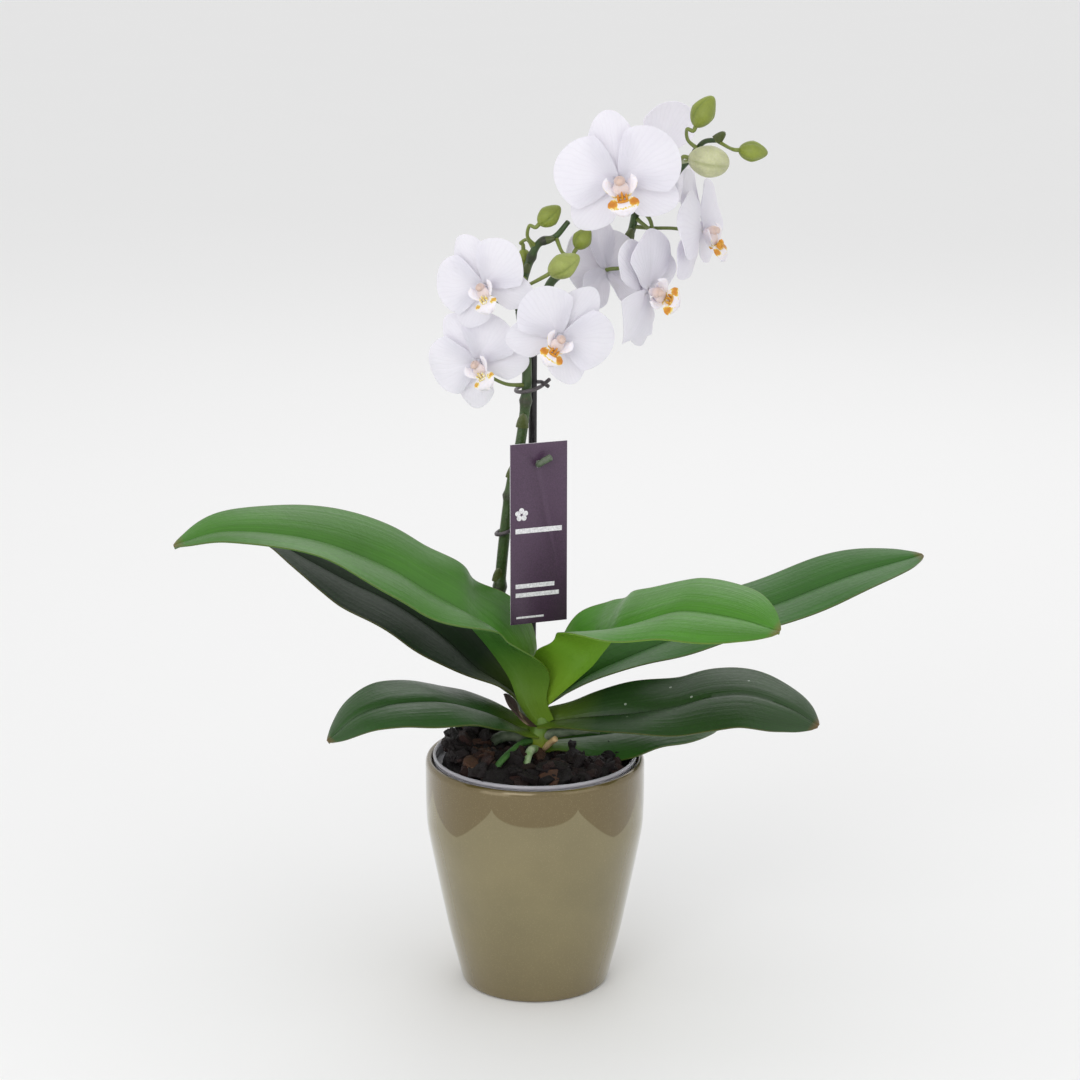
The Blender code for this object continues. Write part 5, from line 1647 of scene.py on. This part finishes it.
class BuildRoots(Build):
    """Lays the aerial roots over the bark"""

    bl_idname = "orchid.roots"
    bl_label = "Roots"

    def build(self):
        make_roots()


class BuildLeaves(Build):
    """Bends the seven leaves"""

    bl_idname = "orchid.leaves"
    bl_label = "Leaves"

    def build(self):
        for number in range(1, 8):
            make_leaf(number)


class BuildSpike(Build):
    """Grows the flower spike, its two branches and their stalks"""

    bl_idname = "orchid.spike"
    bl_label = "Flower Spike"

    def build(self):
        make_stem("spike_stem", "spike_main", SPIKE, (3.5, 3.5, 3.4, 3.2, 3.0, 2.8), (0.36, 0.58, 0.8), SPIKE_STALKS, (
            ((-21.6, 26.6, 100), (0.08, -0.1, 1), 6.5), ((-13.0, 18.5, 165), (0.2, -0.05, 1), 7.0), ((-7.4, 15.5, 196), (0.1, 0.0, 1), 6.0)))
        make_stem("spike_left_branch", "spike_left", LEFT_BRANCH, (2.7, 2.4, 2.1, 1.5), (0.18, 0.52, 0.72), LEFT_STALKS, (
            ((-5.2, 11.5, 288), (0.3, -0.1, 1), 4.0), ((6.5, 5.6, 307), (1, 0, 0.3), 3.6)))
        make_stem("spike_right_branch", "spike_right", RIGHT_BRANCH, (2.6, 2.6, 2.4, 2.0, 1.4), (0.44, 0.62, 0.8, 0.9), RIGHT_STALKS, (
            ((54.5, 43.5, 302), (0.3, -0.2, 1), 5.0), ((103, 20, 362), (0.8, -0.2, 0.8), 5.0)))


class BuildFlowers(Build):
    """Opens the eight flowers"""

    bl_idname = "orchid.flowers"
    bl_label = "Flowers"

    def build(self):
        lip = lip_master()
        for letter in FLOWERS:
            make_flower(letter, lip)
        bpy.data.objects.remove(lip, do_unlink=True)


class BuildBuds(Build):
    """Shapes the seven closed buds"""

    bl_idname = "orchid.buds"
    bl_label = "Buds"

    def build(self):
        for name in BUDS:
            make_bud(name)


class BuildStake(Build):
    """Sets the stake, its clip and the tie ring"""

    bl_idname = "orchid.stake"
    bl_label = "Stake and Clips"

    def build(self):
        make_stake()
        make_clips()


class BuildTag(Build):
    """Hangs the printed tag from its peg"""

    bl_idname = "orchid.tag"
    bl_label = "Tag"

    def build(self):
        make_tag()
        make_tag_print()
        make_tag_peg()


class BuildStage(Build):
    """Lays the floor and sets the lights and the camera"""

    bl_idname = "orchid.stage"
    bl_label = "Stage"

    def build(self):
        make_stage()


SETTINGS = {
    "pot": PotSettings,
    "bark": BarkSettings,
    "leaf": LeafSettings,
    "stem": StemSettings,
    "flower": FlowerSettings,
    "tag": TagSettings,
    "stage": StageSettings,
}
BUILDERS = (
    BuildStage,
    BuildCoverPot,
    BuildGrowPot,
    BuildBark,
    BuildCrown,
    BuildRoots,
    BuildLeaves,
    BuildStake,
    BuildSpike,
    BuildFlowers,
    BuildBuds,
    BuildTag,
)


class OrchidPanel(bpy.types.Panel):
    """Lists the orchid's settings and its builders"""

    bl_idname = "VIEW3D_PT_orchid"
    bl_label = "Potted Orchid"
    bl_space_type = "VIEW_3D"
    bl_region_type = "UI"
    bl_category = "Orchid"

    def draw(self, context):
        for group, kind in SETTINGS.items():
            box = self.layout.box()
            box.label(text=group.title())
            for name in kind.__annotations__:
                box.prop(getattr(context.scene, f"orchid_{group}"), name)
        for builder in BUILDERS:
            self.layout.operator(builder.bl_idname)


def register():
    for kind in (*SETTINGS.values(), *BUILDERS, OrchidPanel):
        bpy.utils.register_class(kind)
    for group, kind in SETTINGS.items():
        setattr(bpy.types.Scene, f"orchid_{group}", bpy.props.PointerProperty(type=kind))


def unregister():
    for group in SETTINGS:
        delattr(bpy.types.Scene, f"orchid_{group}")
    for kind in (OrchidPanel, *reversed(BUILDERS), *reversed(SETTINGS.values())):
        bpy.utils.unregister_class(kind)


def main():
    register()
    for builder in BUILDERS:
        area, name = builder.bl_idname.split(".")
        getattr(getattr(bpy.ops, area), name)()


if __name__ == "__main__":
    main()
